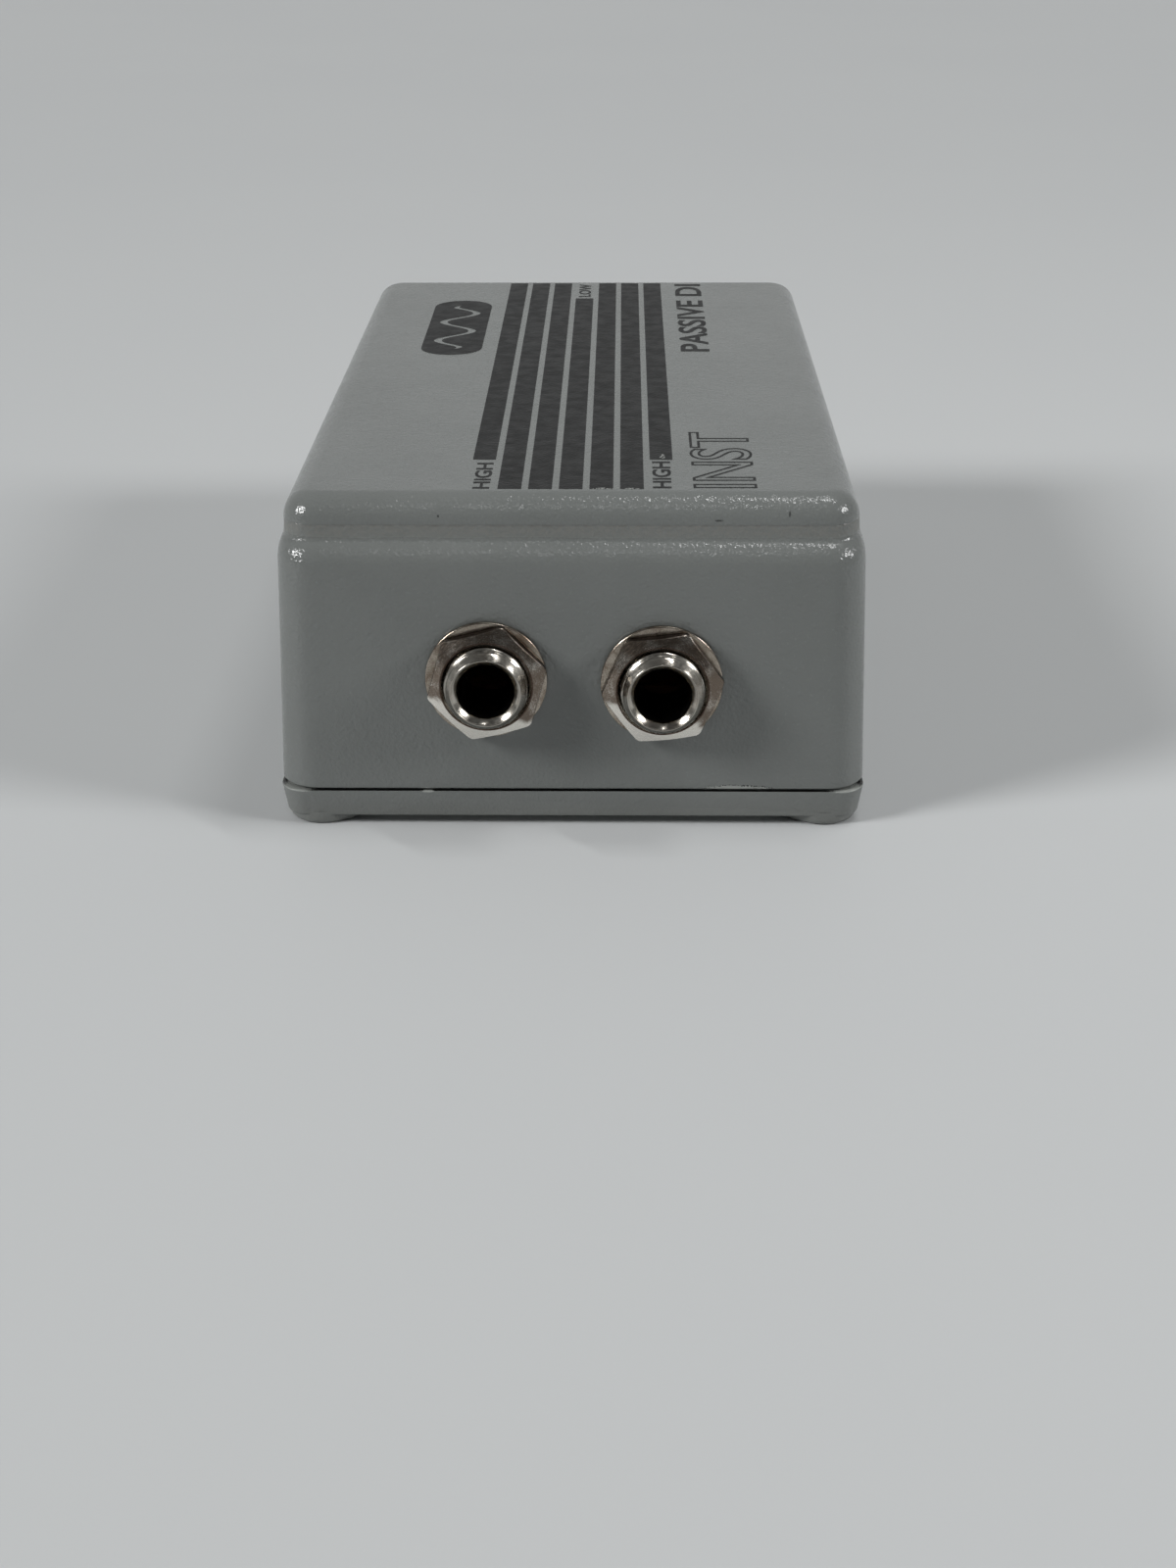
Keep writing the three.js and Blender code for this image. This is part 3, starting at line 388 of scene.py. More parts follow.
def orange_peel(finish, strength=1.0):
    """The dimpled skin of sprayed enamel, shared by the paint and the print on it."""
    swell = finish.bump(finish.noise(1.6, 1.0), 0.05 * strength)
    dimples = finish.bump(finish.noise(0.4, 1.0), 0.08 * strength, swell)
    return finish.bump(finish.noise(0.14, 2.0), 0.008 * strength, dimples)


def band_dust_and_crease_shade(finish, base, height, in_band):
    """Pale dust on the upright band between the two tiers, and painted shade darkening the crease at its top.
    """
    dust = finish.times(in_band, finish.rise(finish.noise(0.5, 4.0), 0.3, 0.7, 0.05, 0.5))
    base = finish.blend(dust, base, colour(124, 122, 116))
    from_crease = finish.math("ABSOLUTE", finish.math("SUBTRACT", height, CREASE_Z - 0.05))
    in_crease = finish.rise(from_crease, 0.03, 0.18, 1.0, 0.0)
    # Painted shade: the crease under the top tier is darkened in soft patches.
    crease_shade = finish.times(in_crease, finish.rise(finish.noise(0.9, 3.0), 0.35, 0.7, 0.1, 0.55))
    return finish.blend(crease_shade, base, colour(92, 90, 85))


def gap_painted_shade(finish, base, height):
    """Painted shade, nearly black, in the open gap between the shell and the cover, but not inside the case.
    """
    in_gap = finish.times(
        finish.rise(height, COVER_TOP - 0.02, COVER_TOP - 0.005),
        finish.rise(height, SHELL_LOW.z + 0.02, SHELL_LOW.z + 0.08, 1.0, 0.0))
    past_side, past_end = (
        finish.math("SUBTRACT", finish.math("ABSOLUTE", finish.axis(finish.place, letter)), edge - WALL)
        for letter, edge in (("X", SHELL_HIGH.x), ("Y", SHELL_HIGH.y)))
    outside = finish.rise(finish.math("MAXIMUM", past_side, past_end), 0.0, 0.1)
    # Painted shade: the cover's top is made nearly black in the gap, outside the case only.
    return finish.blend(finish.times(in_gap, outside), base, colour(22, 22, 21))


def enamel(name, chips):
    """Semi-gloss grey enamel. Each chip is (centre, reach, what shows under it)."""
    finish = Finish(name)
    drift = finish.rise(finish.noise(16.0, 3.0), 0.35, 0.65)
    base = finish.blend(drift, colour(114, 117, 115), colour(111, 114, 112))
    grain = finish.rise(finish.noise(0.35, 2.0), 0.62, 0.78, 0.0, 0.35)
    base = finish.blend(grain, base, colour(126, 131, 130))
    height = finish.axis(finish.place, "Z")
    in_band = finish.times(
        finish.rise(height, CREASE_Z - 1.7, CREASE_Z - 0.8),
        finish.rise(height, CREASE_Z - 0.06, CREASE_Z, 1.0, 0.0))
    base = band_dust_and_crease_shade(finish, base, height, in_band)
    base = finish.blend(finish.rise(height, 1.0, 4.0, 0.12, 0.0), base, colour(120, 116, 106))
    base = gap_painted_shade(finish, base, height)
    polish = finish.rise(finish.noise(6.0, 3.0), 0.3, 0.7, 0.14, 0.20)
    roughness = finish.math("ADD", polish, finish.times(in_band, 0.3))
    normal = orange_peel(finish)
    for centre, reach, under in chips:
        mask = finish.spot(centre, reach, 1.6, 0.5 * min(reach))
        base = finish.blend(mask, base, under)
        normal = finish.bump(mask, -0.03, normal)
    return finish.done(base, roughness, normal)


def print_ink(name, worn=()):
    """Flat charcoal screen print, worn through in places where the grey shows."""
    finish = Finish(name)
    base = finish.blend(finish.rise(finish.noise(1.4, 4.0), 0.4, 0.7), colour(24, 24, 24), colour(33, 33, 33))
    for centre, reach in worn:
        rubbed = finish.rise(finish.noise(0.3, 4.0, stretch=(1, 0.5, 1)), 0.46, 0.54)
        scuffs = finish.times(finish.spot(centre, reach, 1.2), rubbed)
        base = finish.blend(scuffs, base, colour(150, 152, 149))
    finish.shader.inputs["Specular IOR Level"].default_value = 0.25
    return finish.done(base, finish.rise(finish.noise(2.0), 0.3, 0.7, 0.42, 0.52), orange_peel(finish, 0.8))


def plated(name, bright, dark, stain, roughness, brush=0.0, lit_and_clean_below=None):
    """Plated metal, with brownish tarnish over about that share of it. On a nut, the tarnish is left off
    below a line through a point, tilted by that slope, so it is dark brown above the line and bright below
    it: tarnish, and also a painted reflection of the dim room above and the bright floor below."""
    finish = Finish(name, metallic=1.0)
    cloud = finish.noise(2.2, 3.0, distortion=0.4)
    speck = finish.noise(0.11, 3.0)
    cover = finish.math("ADD", finish.times(cloud, 0.5), finish.times(speck, 0.5))
    mask = finish.rise(cover, 0.54 - 0.30 * stain, 0.84 - 0.30 * stain)
    if lit_and_clean_below is not None:
        # Painted reflection as well as tarnish: clean and bright below the tilted line, tarnished and dark
        # above it.
        middle, tilt = lit_and_clean_below
        across = finish.times(finish.math("SUBTRACT", finish.axis(finish.place, "X"), middle.x), tilt)
        tilted = finish.math("ADD", finish.axis(finish.place, "Z"), across)
        level = finish.math("ADD", tilted, finish.times(cloud, 3.0))
        edge = middle.z - 1.5
        mask = finish.times(mask, finish.rise(level, edge - 0.5, edge + 0.5))
    base = finish.blend(mask, colour(*bright), colour(*dark))
    scratches = finish.noise(0.5, 4.0, stretch=(1, 9, 1)) if brush else finish.noise(0.4, 4.0)
    rough = finish.rise(scratches, 0.3, 0.7, roughness, roughness + 0.12)
    return finish.done(base, rough, finish.bump(speck, 0.004 + brush))


def plain(name, first, second, size, roughness, metallic=0.0, depth=0.004, stretch=(1, 1, 1)):
    """A finish with two mixed tones and fine relief, for moulded plastic, foam, tape, steel and wire."""
    finish = Finish(name, metallic=metallic)
    pattern = finish.noise(size, 4.0, stretch=stretch)
    base = finish.blend(finish.rise(pattern, 0.35, 0.65), colour(*first), colour(*second))
    rough = finish.rise(finish.noise(size * 2, 2.0), 0.3, 0.7, roughness - 0.05, roughness + 0.08)
    return finish.done(base, rough, finish.bump(finish.noise(size / 2, 3.0, stretch=stretch), depth))


# The nut's two tones: bright nickel below its tilted line, a painted reflection of the floor, and dark brown
# above it, tarnish and painted dark reflection.
CLEAN_AND_LIT_NICKEL, DARK_NICKEL = (226, 222, 214), (112, 101, 91)

NICKEL = plated("nickel_plate", (172, 168, 160), (132, 120, 108), 0.3, 0.12)
NICKEL_FACE = plated("stained_nickel_plate", (128, 114, 104), (72, 58, 50), 0.9, 0.24, 0.002)
NICKEL_WASHER = plated("washer_nickel_plate", (186, 178, 166), (112, 96, 82), 0.6, 0.15, 0.002)
CAST_NICKEL = plated("satin_nickel_casting", (196, 195, 190), (140, 136, 128), 0.3, 0.24, 0.002)
ZINC = plated("zinc_plate", (190, 191, 189), (128, 126, 118), 0.45, 0.26)
STEEL = plated("bright_steel", (158, 160, 162), (96, 92, 86), 0.4, 0.3, 0.003)
SILVER = plated("silver_plate", (226, 224, 214), (150, 138, 112), 0.35, 0.14)
BRONZE = plated("spring_bronze", (196, 152, 92), (120, 84, 46), 0.4, 0.2)
PHENOLIC = plain("laminated_phenolic", (98, 58, 32), (72, 40, 22), 0.5, 0.55, stretch=(0.4, 0.4, 5))
BLACK_PLASTIC = plain("black_nylon", (24, 25, 27), (33, 34, 36), 0.3, 0.42, depth=0.006)
LAMINATION = plain("core_laminations", (70, 74, 78), (104, 104, 100), 0.5, 0.5, 0.8, 0.03, (0.1, 1, 0.1))
BOBBIN = plain("natural_nylon", (224, 219, 204), (206, 200, 184), 1.5, 0.45)
WINDING_TAPE = plain(
    "winding_tape", (205, 166, 62), (182, 140, 44), 2.0, 0.3, depth=0.01, stretch=(1, 1, 4))
FOAM = plain("black_foam", (40, 40, 41), (18, 18, 19), 0.4, 0.9, depth=0.12)
RESISTOR = plain("resistor_lacquer", (192, 166, 124), (158, 128, 88), 0.8, 0.4)
CAPACITOR = plain("capacitor_dip", (176, 104, 46), (150, 82, 34), 1.0, 0.35, depth=0.01)
WIRE_COLOURS = {
    "red": (164, 34, 28), "black": (28, 28, 29), "white": (222, 220, 212),
    "green": (44, 112, 60), "yellow": (208, 176, 44),
}
WIRES = {
    name: plain(name + "_insulation", shade, [0.82 * value for value in shade], 0.6, 0.4, depth=0.003)
    for name, shade in WIRE_COLOURS.items()
}

# ---------------------------------------------------------------- housing

SIDE_DRAFT, END_DRAFT = 0.8, 0.2
SIDE_LEDGE, END_LEDGE = 0.75, 2.0
SHOULDER_TOP, SHOULDER_HEIGHT = 33.88, 3.2
CREASE_Z, TOP_ROUND = 35.3, 3.0
CORNER, TIER_CORNER = 4.5, 3.8
WALL = 2.3
PILLAR = Vector((27.4, 54.9))
PILLAR_RADIUS, PILLAR_TOP = 4.2, 17.0
OUTWARD = {
    "front_left": Vector((-1, -1)), "front_right": Vector((1, -1)),
    "rear_right": Vector((1, 1)), "rear_left": Vector((-1, 1)),
}
PILLARS = {
    name: Vector((out.x * PILLAR.x, SHELL_MIDDLE.y + out.y * PILLAR.y)) for name, out in OUTWARD.items()
}
CHANNEL = REAR - 5, REAR + 5              # how far the rear wall's hole cutters reach

JACKS = ("left", "right")
OUTPUT = cad_middle("output_shell")
SWITCH = cad_middle("lift_switch_frame")
LEVER_LOW, LEVER_HIGH = cad_span("lift_switch_lever")


def shell_level(z, side_inset, end_inset, radius):
    size = SHELL_HIGH - SHELL_LOW
    return (z, size.x / 2 - side_inset, size.y / 2 - end_inset, radius)


def shell_levels():
    """The outer skin from its open edge up: wall, rounded shoulder, upright band and rounded top."""
    foot = SHELL_LOW.z
    wall_top = SHOULDER_TOP - SHOULDER_HEIGHT
    levels = []
    edge = 0.3
    tier_gap = 0.012
    for step in range(5):
        angle = TURN / 4 * step / 4
        inset = edge * (1 - math.sin(angle))
        levels.append(shell_level(foot + edge * (1 - math.cos(angle)), inset, inset, CORNER - inset))
    for z in (foot + 1.2, wall_top - 0.8):
        share = (z - foot) / (wall_top - foot)
        levels.append(shell_level(z, SIDE_DRAFT * share, END_DRAFT * share, CORNER))

    def ledge_level(z, out):
        inset = 1 - out
        radius = CORNER - (CORNER - TIER_CORNER) * inset
        return shell_level(z, SIDE_DRAFT + SIDE_LEDGE * inset, END_DRAFT + END_LEDGE * inset, radius)

    steps, turned = 12, math.radians(58)
    for step in range(steps + 1):
        angle = turned * step / steps
        out = 1 - SHOULDER_HEIGHT * (1 - math.cos(angle)) / END_LEDGE
        levels.append(ledge_level(wall_top + SHOULDER_HEIGHT * math.sin(angle), out))
    cove = [Vector((out, levels[-1][0])), Vector((0.08, CREASE_Z - 1.68)), Vector((0.03, CREASE_Z - 1.1)),
            Vector((0.0, CREASE_Z))]
    for step in range(1, steps + 1):
        t = step / steps
        weights = ((1 - t) ** 3, 3 * t * (1 - t) ** 2, 3 * t * t * (1 - t), t ** 3)
        point = sum((w * p for w, p in zip(weights, cove)), Vector((0, 0)))
        levels.append(ledge_level(point.y, point.x))

    def tier_level(z, drawn, radius):
        side, end = SIDE_DRAFT + SIDE_LEDGE, END_DRAFT + END_LEDGE
        return shell_level(z, side + drawn, end + drawn, radius)

    levels.append(tier_level(CREASE_Z + 0.03, tier_gap, TIER_CORNER))
    steps = 16
    for step in range(steps + 1):
        angle = TURN / 4 * (1 - step / steps)
        drawn = TOP_ROUND * (1 - math.sin(angle))
        z = CROWN - TOP_ROUND + TOP_ROUND * math.cos(angle)
        levels.append(tier_level(z, drawn, max(1.0, TIER_CORNER - 0.92 * drawn)))
    levels.append(tier_level(CROWN, TOP_ROUND + 0.5, 1.0))
    return levels


def shell_cavity():
    """What is hollow: it narrows towards the top, and leaves a pillar for each cover screw."""
    radius = CORNER - WALL
    top = SHELL_HIGH.z - 2.4
    levels = [
        shell_level(SHELL_LOW.z - 1, WALL, WALL, radius),
        shell_level(SHELL_HIGH.z - 8.4, WALL + SIDE_DRAFT, WALL + END_DRAFT, radius),
        shell_level(top - 1.5, WALL + 1.6, WALL + 2.2, radius - 0.4),
        shell_level(top, WALL + 3.1, WALL + 3.7, radius - 0.8),
    ]
    hollow = new_piece("hollow", loft(level_rings(levels, SHELL_MIDDLE, 6)))
    rows = [(0, 0), (PILLAR_RADIUS, 0), (PILLAR_RADIUS, PILLAR_TOP), (0, PILLAR_TOP)]
    return combine(hollow, [post("pillar", place, rows) for place in PILLARS.values()], "DIFFERENCE")


def lever_slot():
    """A slot with a flared outer edge, which the switch's lever comes out of."""
    half_width, half_height = 2.5, 4.05
    rings = upright_rings([
        (REAR - 6, half_width, half_height, 0.5),
        (REAR - 0.45, half_width, half_height, 0.5),
        (REAR - 0.2, half_width + 0.1, half_height + 0.1, 0.6),
        (REAR + 0.6, half_width + 0.7, half_height + 0.7, 1.2),
    ], SWITCH, 6)
    return new_piece("slot", loft(rings))


def make_shell():
    shell = new_piece("shell_casting", loft(level_rings(shell_levels(), SHELL_MIDDLE, 14)))
    screw_hole, jack_hole, output_hole = 1.95, 4.95, 11.05
    depth = PILLAR_TOP - 1.2
    rows = [(0, 0), (screw_hole, 0), (screw_hole, depth), (0, depth)]
    cutters = [shell_cavity(), lever_slot()]
    cutters += [post("hole", place, rows, 32) for place in PILLARS.values()]
    for side in JACKS:
        cutters.append(hole_along_y(cad_middle(side + "_jack_washer"), FRONT - 5, FRONT + 5, jack_hole))
    cutters.append(hole_along_y(OUTPUT, *CHANNEL, output_hole, 96))
    for name in ("low", "high"):
        cutters.append(hole_along_y(cad_middle("output_screw_" + name), *CHANNEL, 1.75, 32))
        cutters.append(hole_along_y(cad_middle("lift_switch_screw_" + name), *CHANNEL, 1.6, 32))
    combine(shell, cutters, "DIFFERENCE")
    chips = [
        ((16.2, FRONT + 2.3, 35.85), (0.45, 0.8, 0.10), NICKED_PAINT),
        ((23.9, FRONT + 2.3, 36.55), (0.10, 0.8, 0.34), NICKED_PAINT),
        ((-14.45, FRONT + 2.3, 36.3), (0.13, 0.6, 0.13), NICKED_PAINT),
        ((-16.6, FRONT, 4.7), (0.9, 1.0, 0.22), RUBBED_PAINT_AND_HIGHLIGHT),
        ((19.0, FRONT, 4.85), (3.6, 1.0, 0.42), PRIMER),
        ((18.4, FRONT, 4.85), (3.2, 1.0, 0.40), RUBBED_PAINT_AND_HIGHLIGHT),
        ((21.2, FRONT, 4.8), (1.2, 1.0, 0.30), RUBBED_PAINT_AND_HIGHLIGHT),
        ((-33.0, 31.0, 34.0), (0.6, 1.6, 0.5), PRIMER),
        ((32.8, -22.0, 4.8), (1.0, 2.2, 0.4), BARE_METAL),
        ((-9.0, REAR, 4.8), (2.0, 1.0, 0.4), BARE_METAL),
    ]
    return mount(shell, enamel("grey_enamel", chips), "upper_shell")


COVER_LOW, COVER_HIGH = cad_span("bottom_cover")
COVER_CORNER, COVER_TAPER = 3.1, 0.5
BOSS_SHIFT = Vector((1.45, 0.75))        # how far each boss stretches from its screw towards the corner
BOSS_LEVELS = (                          # the boss's height and radius, from its foot up
    (0.0, 3.3), (0.04, 3.5), (0.16, 3.7), (0.36, 3.85), (0.65, 3.93), (1.0, 3.97), (1.6, 3.98))
HEAD_RADIUS, SHANK_RADIUS, HEAD_SUNK = 2.9, 1.7, 0.25


def cover_edge_levels():
    """The cover plate's edge from its underside up, with a soft lower edge and a crisp upper one."""
    levels = []
    low_round, high_round = 0.35, 0.12
    size = COVER_HIGH - COVER_LOW

    def level(z, inset):
        return (z, size.x / 2 - inset, size.y / 2 - inset, max(0.6, COVER_CORNER - inset))

    levels.append(level(COVER_UNDERSIDE, COVER_TAPER + low_round + 0.5))
    for step in range(6):
        angle = TURN / 4 * step / 5
        inset = COVER_TAPER + low_round * (1 - math.sin(angle))
        levels.append(level(COVER_UNDERSIDE + low_round * (1 - math.cos(angle)), inset))
    for step in range(5):
        angle = TURN / 4 * step / 4
        z = COVER_TOP - high_round * (1 - math.sin(angle))
        levels.append(level(z, high_round * (1 - math.cos(angle))))
    levels.append(level(COVER_TOP, high_round + 0.4))
    return levels


def boss_rings(screw, outward):
    """Rings round a screw, stretched towards the corner, wider and rounder from the foot up."""
    away = Vector(a * b for a, b in zip(outward, BOSS_SHIFT))
    rings = []
    for z, radius in BOSS_LEVELS:
        ring = []
        for step in range(72):
            out = spoke(TURN * step / 72)
            ring.append(radius * out + (away if out.dot(away) > 0 else Vector((0, 0))))
        rings.append(level_ring(ring, screw, z))
    return rings


def cover_lip():
    """The low wall inside the cover's edge, open round the screw pillars and beside the slide switch."""
    half = (COVER_HIGH - COVER_LOW) / 2
    outer, inner, top = 2.65, 4.15, COVER_TOP + 1.8

    def slab(name, inset, low, high, radius):
        levels = [(z, half.x - inset, half.y - inset, radius) for z in (low, high)]
        return new_piece(name, loft(level_rings(levels, SHELL_MIDDLE, 6)))

    lip = slab("lip", outer, COVER_TOP - 1, top, 2)
    notches = [slab("well", inner, COVER_TOP - 2, top + 1, 1)]
    for name, centre in PILLARS.items():
        near = centre - OUTWARD[name] * (PILLAR_RADIUS + 0.4)
        far = centre + OUTWARD[name] * 20
        low = (min(near.x, far.x), min(near.y, far.y), COVER_TOP)
        high = (max(near.x, far.x), max(near.y, far.y), top + 2)
        notches.append(block("notch", low, high))
    notches.append(block("notch", (8, REAR - 10, COVER_TOP), (PILLAR.x, REAR, top + 2)))
    return combine(lip, notches, "DIFFERENCE")


def make_cover():
    cover = new_piece("cover_casting", loft(level_rings(cover_edge_levels(), SHELL_MIDDLE, 12)))
    head, shank = HEAD_RADIUS + 0.15, SHANK_RADIUS + 0.25
    sunk = [(0, -1), (head + 0.15, -1), (head + 0.15, 0), (head, 0.15), (head, 0.7), (shank, 2.1), (shank, 8),
            (0, 8)]
    bosses = [new_piece("boss", loft(boss_rings(place, OUTWARD[name]))) for name, place in PILLARS.items()]
    holes = [post("hole", place, sunk, 48) for place in PILLARS.values()]
    combine(cover, bosses, "UNION", 26)
    combine(cover, [cover_lip()], "UNION", 26)
    combine(cover, holes, "DIFFERENCE", 26)
    edge = COVER_TOP - 0.05
    # The spots on the corners of the cover's top edge are lighter paint, a painted highlight as well as
    # rubbed paint; the others are rubbed paint, and bare metal on the feet.
    worn = [
        ((-31.4, FRONT + 1.2, edge), (2.0, 2.0, 0.12), RUBBED_PAINT_AND_HIGHLIGHT),
        ((31.2, FRONT + 1.2, edge), (2.2, 2.0, 0.12), RUBBED_PAINT_AND_HIGHLIGHT),
        ((-16.4, FRONT, edge), (0.7, 1.0, 0.12), RUBBED_PAINT_AND_HIGHLIGHT),
        ((31.2, REAR - 1.0, edge), (1.8, 1.6, 0.12), RUBBED_PAINT_AND_HIGHLIGHT),
    ]
    for name, place in PILLARS.items():
        worn.append(((place.x, place.y + OUTWARD[name].y * 0.8, 0), (3.8, 3.4, 0.1), BARE_METAL))
    return mount(cover, enamel("grey_enamel_cover", worn), "bottom_cover")


def cross_recess(middle, axis, reach, half_slot, outside, depth):
    """Two tapered arms that cut a cross recess, from beyond a head's face down into it."""
    tools = []
    for turned in (False, True):
        rings = []
        for place, share in ((outside, 1.0), (depth, 0.45)):
            long, short = reach * share, half_slot * (0.6 + 0.4 * share)
            across, up = (short, long) if turned else (long, short)
            corners = ((across, up), (-across, up), (-across, -up), (across, -up))
            ring = level_ring if axis == "Z" else upright_ring
            rings.append(ring(corners, middle, place))
        tools.append(new_piece("recess", loft(rings)))
    return tools


def make_cover_screws():
    pitch, depth = 0.7, 0.28
    root = SHANK_RADIUS - depth
    start, end = HEAD_SUNK + 2.2, HEAD_SUNK + 12.6
    rows = [(0, HEAD_SUNK), (HEAD_RADIUS - 0.2, HEAD_SUNK), (HEAD_RADIUS, HEAD_SUNK + 0.12),
            (HEAD_RADIUS, HEAD_SUNK + 0.35), (SHANK_RADIUS, HEAD_SUNK + 1.75), (SHANK_RADIUS, start - 0.2)]
    rows += thread_rows(start, end, round((end - start) / pitch * 6), pitch, SHANK_RADIUS, root)
    rows += [(root, end + 0.2), (0, end + 0.4)]
    for name, place in PILLARS.items():
        screw = post("cover_screw_fine_" + name, place, rows, 40)
        recess = cross_recess(place, "Z", 1.8, 0.36, HEAD_SUNK - 0.3, HEAD_SUNK + 1.25)
        mount(combine(screw, recess, "DIFFERENCE"), ZINC, "cover_screw_" + name)


# ---------------------------------------------------------------- quarter-inch jacks

BUSHING_RADIUS, BORE_RADIUS, THREAD_PITCH = 4.65, 3.15, 0.79
NUT_FLATS = 12.0
NUT_TURNS = {"left": 14.5, "right": 6.5}
JACK_SLACK = {"left": Vector((0.15, 0, 0.2)), "right": Vector((0.1, 0, -0.28))}    # play in the wall's hole
WASHER_SLACK = {"left": Vector((-0.1, 0, 0.08)), "right": Vector((-0.1, 0, 0.15))}
PLATE_FRONT, PLATE_REAR = FRONT + 3.6, FRONT + 4.7


def jack_axis(side):
    return cad_middle(side + "_jack_washer") + JACK_SLACK[side]


def make_bushing(side):
    """The sleeve contact: a threaded tube with a rounded mouth."""
    mouth = cad_span(side + "_jack_frame")[0].y
    start, end = mouth + 0.74, FRONT + 2.3
    rows = [(BORE_RADIUS, PLATE_REAR), (BORE_RADIUS, mouth + 0.75), (BORE_RADIUS + 0.03, mouth + 0.62),
            (BORE_RADIUS + 0.12, mouth + 0.5), (3.62, mouth + 0.14), (3.72, mouth + 0.06)]
    rows += arc(3.84, mouth + 0.1, 0.1, 200, 330, 5)
    rows += [(4.0, mouth + 0.16), (4.34, mouth + 0.52), (4.42, mouth + 0.66)]
    steps = round((end - start) / THREAD_PITCH * 9)
    rows += thread_rows(start, end, steps, THREAD_PITCH, BUSHING_RADIUS, BUSHING_RADIUS - 0.3, lead=0.4)
    rows += [(BUSHING_RADIUS, end + 0.1), (BUSHING_RADIUS, PLATE_REAR)]
    bushing = new_piece(side + "_jack_bushing_fine", spun(rows, jack_axis(side), "Y", 128), 40)
    mount(bushing, NICKEL, side + "_jack_frame")


def make_jack_frame(side):
    """The nickel frame behind the bushing: an upright plate, and a leg that ends in a solder lug."""
    low, high = cad_span(side + "_jack_frame")
    axis = jack_axis(side)
    half_x, half_z = 7, (high.z - low.z) / 2
    plate = new_piece(side + "_jack_frame_fine", loft(upright_rings([
        (PLATE_FRONT, half_x - 0.1, half_z - 0.1, 1.2), (PLATE_FRONT + 0.12, half_x, half_z, 1.3),
        (PLATE_REAR - 0.12, half_x, half_z, 1.3), (PLATE_REAR, half_x - 0.1, half_z - 0.1, 1.2),
    ], Vector((axis.x, 0, (high.z + low.z) / 2)), 5)))
    hole = hole_along_y(axis, PLATE_FRONT - 1, PLATE_REAR + 1, BUSHING_RADIUS - 0.15)
    combine(plate, [hole], "DIFFERENCE", 40)
    leg = block("leg", (axis.x - 4.2, PLATE_FRONT + 0.2, low.z + 0.02),
                (axis.x + 4.2, high.y - 5.5, low.z + 0.98))
    lug = block("lug", (axis.x - 1.6, high.y - 6, low.z + 0.05), (axis.x + 1.6, high.y, low.z + 0.95))
    combine(plate, [bevel(leg, 0.15, 2), bevel(lug, 0.12, 2)], "UNION", 40)
    eye = [(0, low.z - 1), (0.7, low.z - 1), (0.7, low.z + 2), (0, low.z + 2)]
    combine(plate, [post("eye", Vector((axis.x, high.y - 2)), eye, 32)], "DIFFERENCE", 40)
    mount(plate, NICKEL, side + "_jack_frame")


def make_nut(side):
    """A thin hexagon nut with a wide cone round its face."""
    low, high = cad_span(side + "_jack_nut")
    middle = jack_axis(side)
    face_radius, slope = 5.2, math.tan(math.radians(26))
    front, back = low.y, high.y
    bore = BUSHING_RADIUS + 0.12
    corner_round = 0.10

    def side_radius(angle):
        from_flat = (angle % (TURN / 6)) - TURN / 12
        half_flat = NUT_FLATS / 2
        return min(half_flat / math.cos(from_flat), half_flat / math.cos(TURN / 12) - corner_round)

    def side_row(inset, place):
        return lambda angle: (side_radius(angle) - inset, place)

    def cone_row(inset, deeper):
        def point(angle):
            depth = front + 0.05 + (side_radius(angle) - face_radius) * slope
            return side_radius(angle) - inset, depth + deeper
        return point

    rows = [
        (bore, back - 0.25), (bore, front + 0.3), (bore + 0.28, front),
        (face_radius - 0.12, front), (face_radius, front + 0.02), (face_radius + 0.08, front + 0.06),
        cone_row(0.05, -0.02), cone_row(0, 0.05),
        side_row(0, back - 0.08), side_row(0.08, back), (bore + 0.25, back),
    ]
    nut = spun(rows, middle, "Y", 144)
    turn = Matrix.Rotation(math.radians(-NUT_TURNS[side]), 4, "Y")
    spin = Matrix.Translation(middle) @ turn @ Matrix.Translation(-middle)
    bmesh.ops.transform(nut, matrix=spin, verts=nut.verts)
    # Painted reflection: the nut is bright below the tilted line and tarnished dark above it.
    finish = plated(side + "_nut_nickel", CLEAN_AND_LIT_NICKEL, DARK_NICKEL, 1.0, 0.18, 0.002, (middle, 0.24))
    piece = mount(new_piece(side + "_jack_nut_fine", nut, 24), finish, side + "_jack_nut")
    piece.data.materials.append(NICKEL_FACE)
    for face in piece.data.polygons:
        away = math.hypot(face.center.x / MM - middle.x, face.center.z / MM - middle.z)
        inside = away < face_radius + 0.02
        flat_front = abs(face.normal.y) > 0.98 and inside
        hex_side = abs(face.normal.y) < 0.05 and not inside
        face.material_index = 1 if flat_front or hex_side else 0


def make_washer(side):
    """A flat washer with rounded edges, which hangs off centre by the play in its own hole."""
    node = side + "_jack_washer"
    low, high = cad_span(node)
    middle = jack_axis(side) + WASHER_SLACK[side]
    outer, inner = (high.x - low.x) / 2 + 0.2, BUSHING_RADIUS + 0.35
    edge = 0.16
    rows = arc(outer - edge, low.y + edge, edge, -90, 0, 4)
    rows += arc(outer - edge, high.y - edge, edge, 0, 90, 4)
    rows += [(inner + 0.05, high.y), (inner, high.y - 0.05), (inner, low.y + 0.05), (inner + 0.05, low.y)]
    mount(new_piece(node + "_fine", spun(rows, middle, "Y", 128)), NICKEL_WASHER, node)


def make_jacks():
    for side in JACKS:
        make_bushing(side)
        make_jack_frame(side)
        make_nut(side)
        make_washer(side)


# ---------------------------------------------------------------- output connector and switch

CUP_RADIUS, BARREL_RADIUS = 9.5, 10.8


def turned(name, rows, middle, segments):
    """A solid turned shape along Y."""
    return new_piece(name, spun(rows, middle, "Y", segments, closed=False))


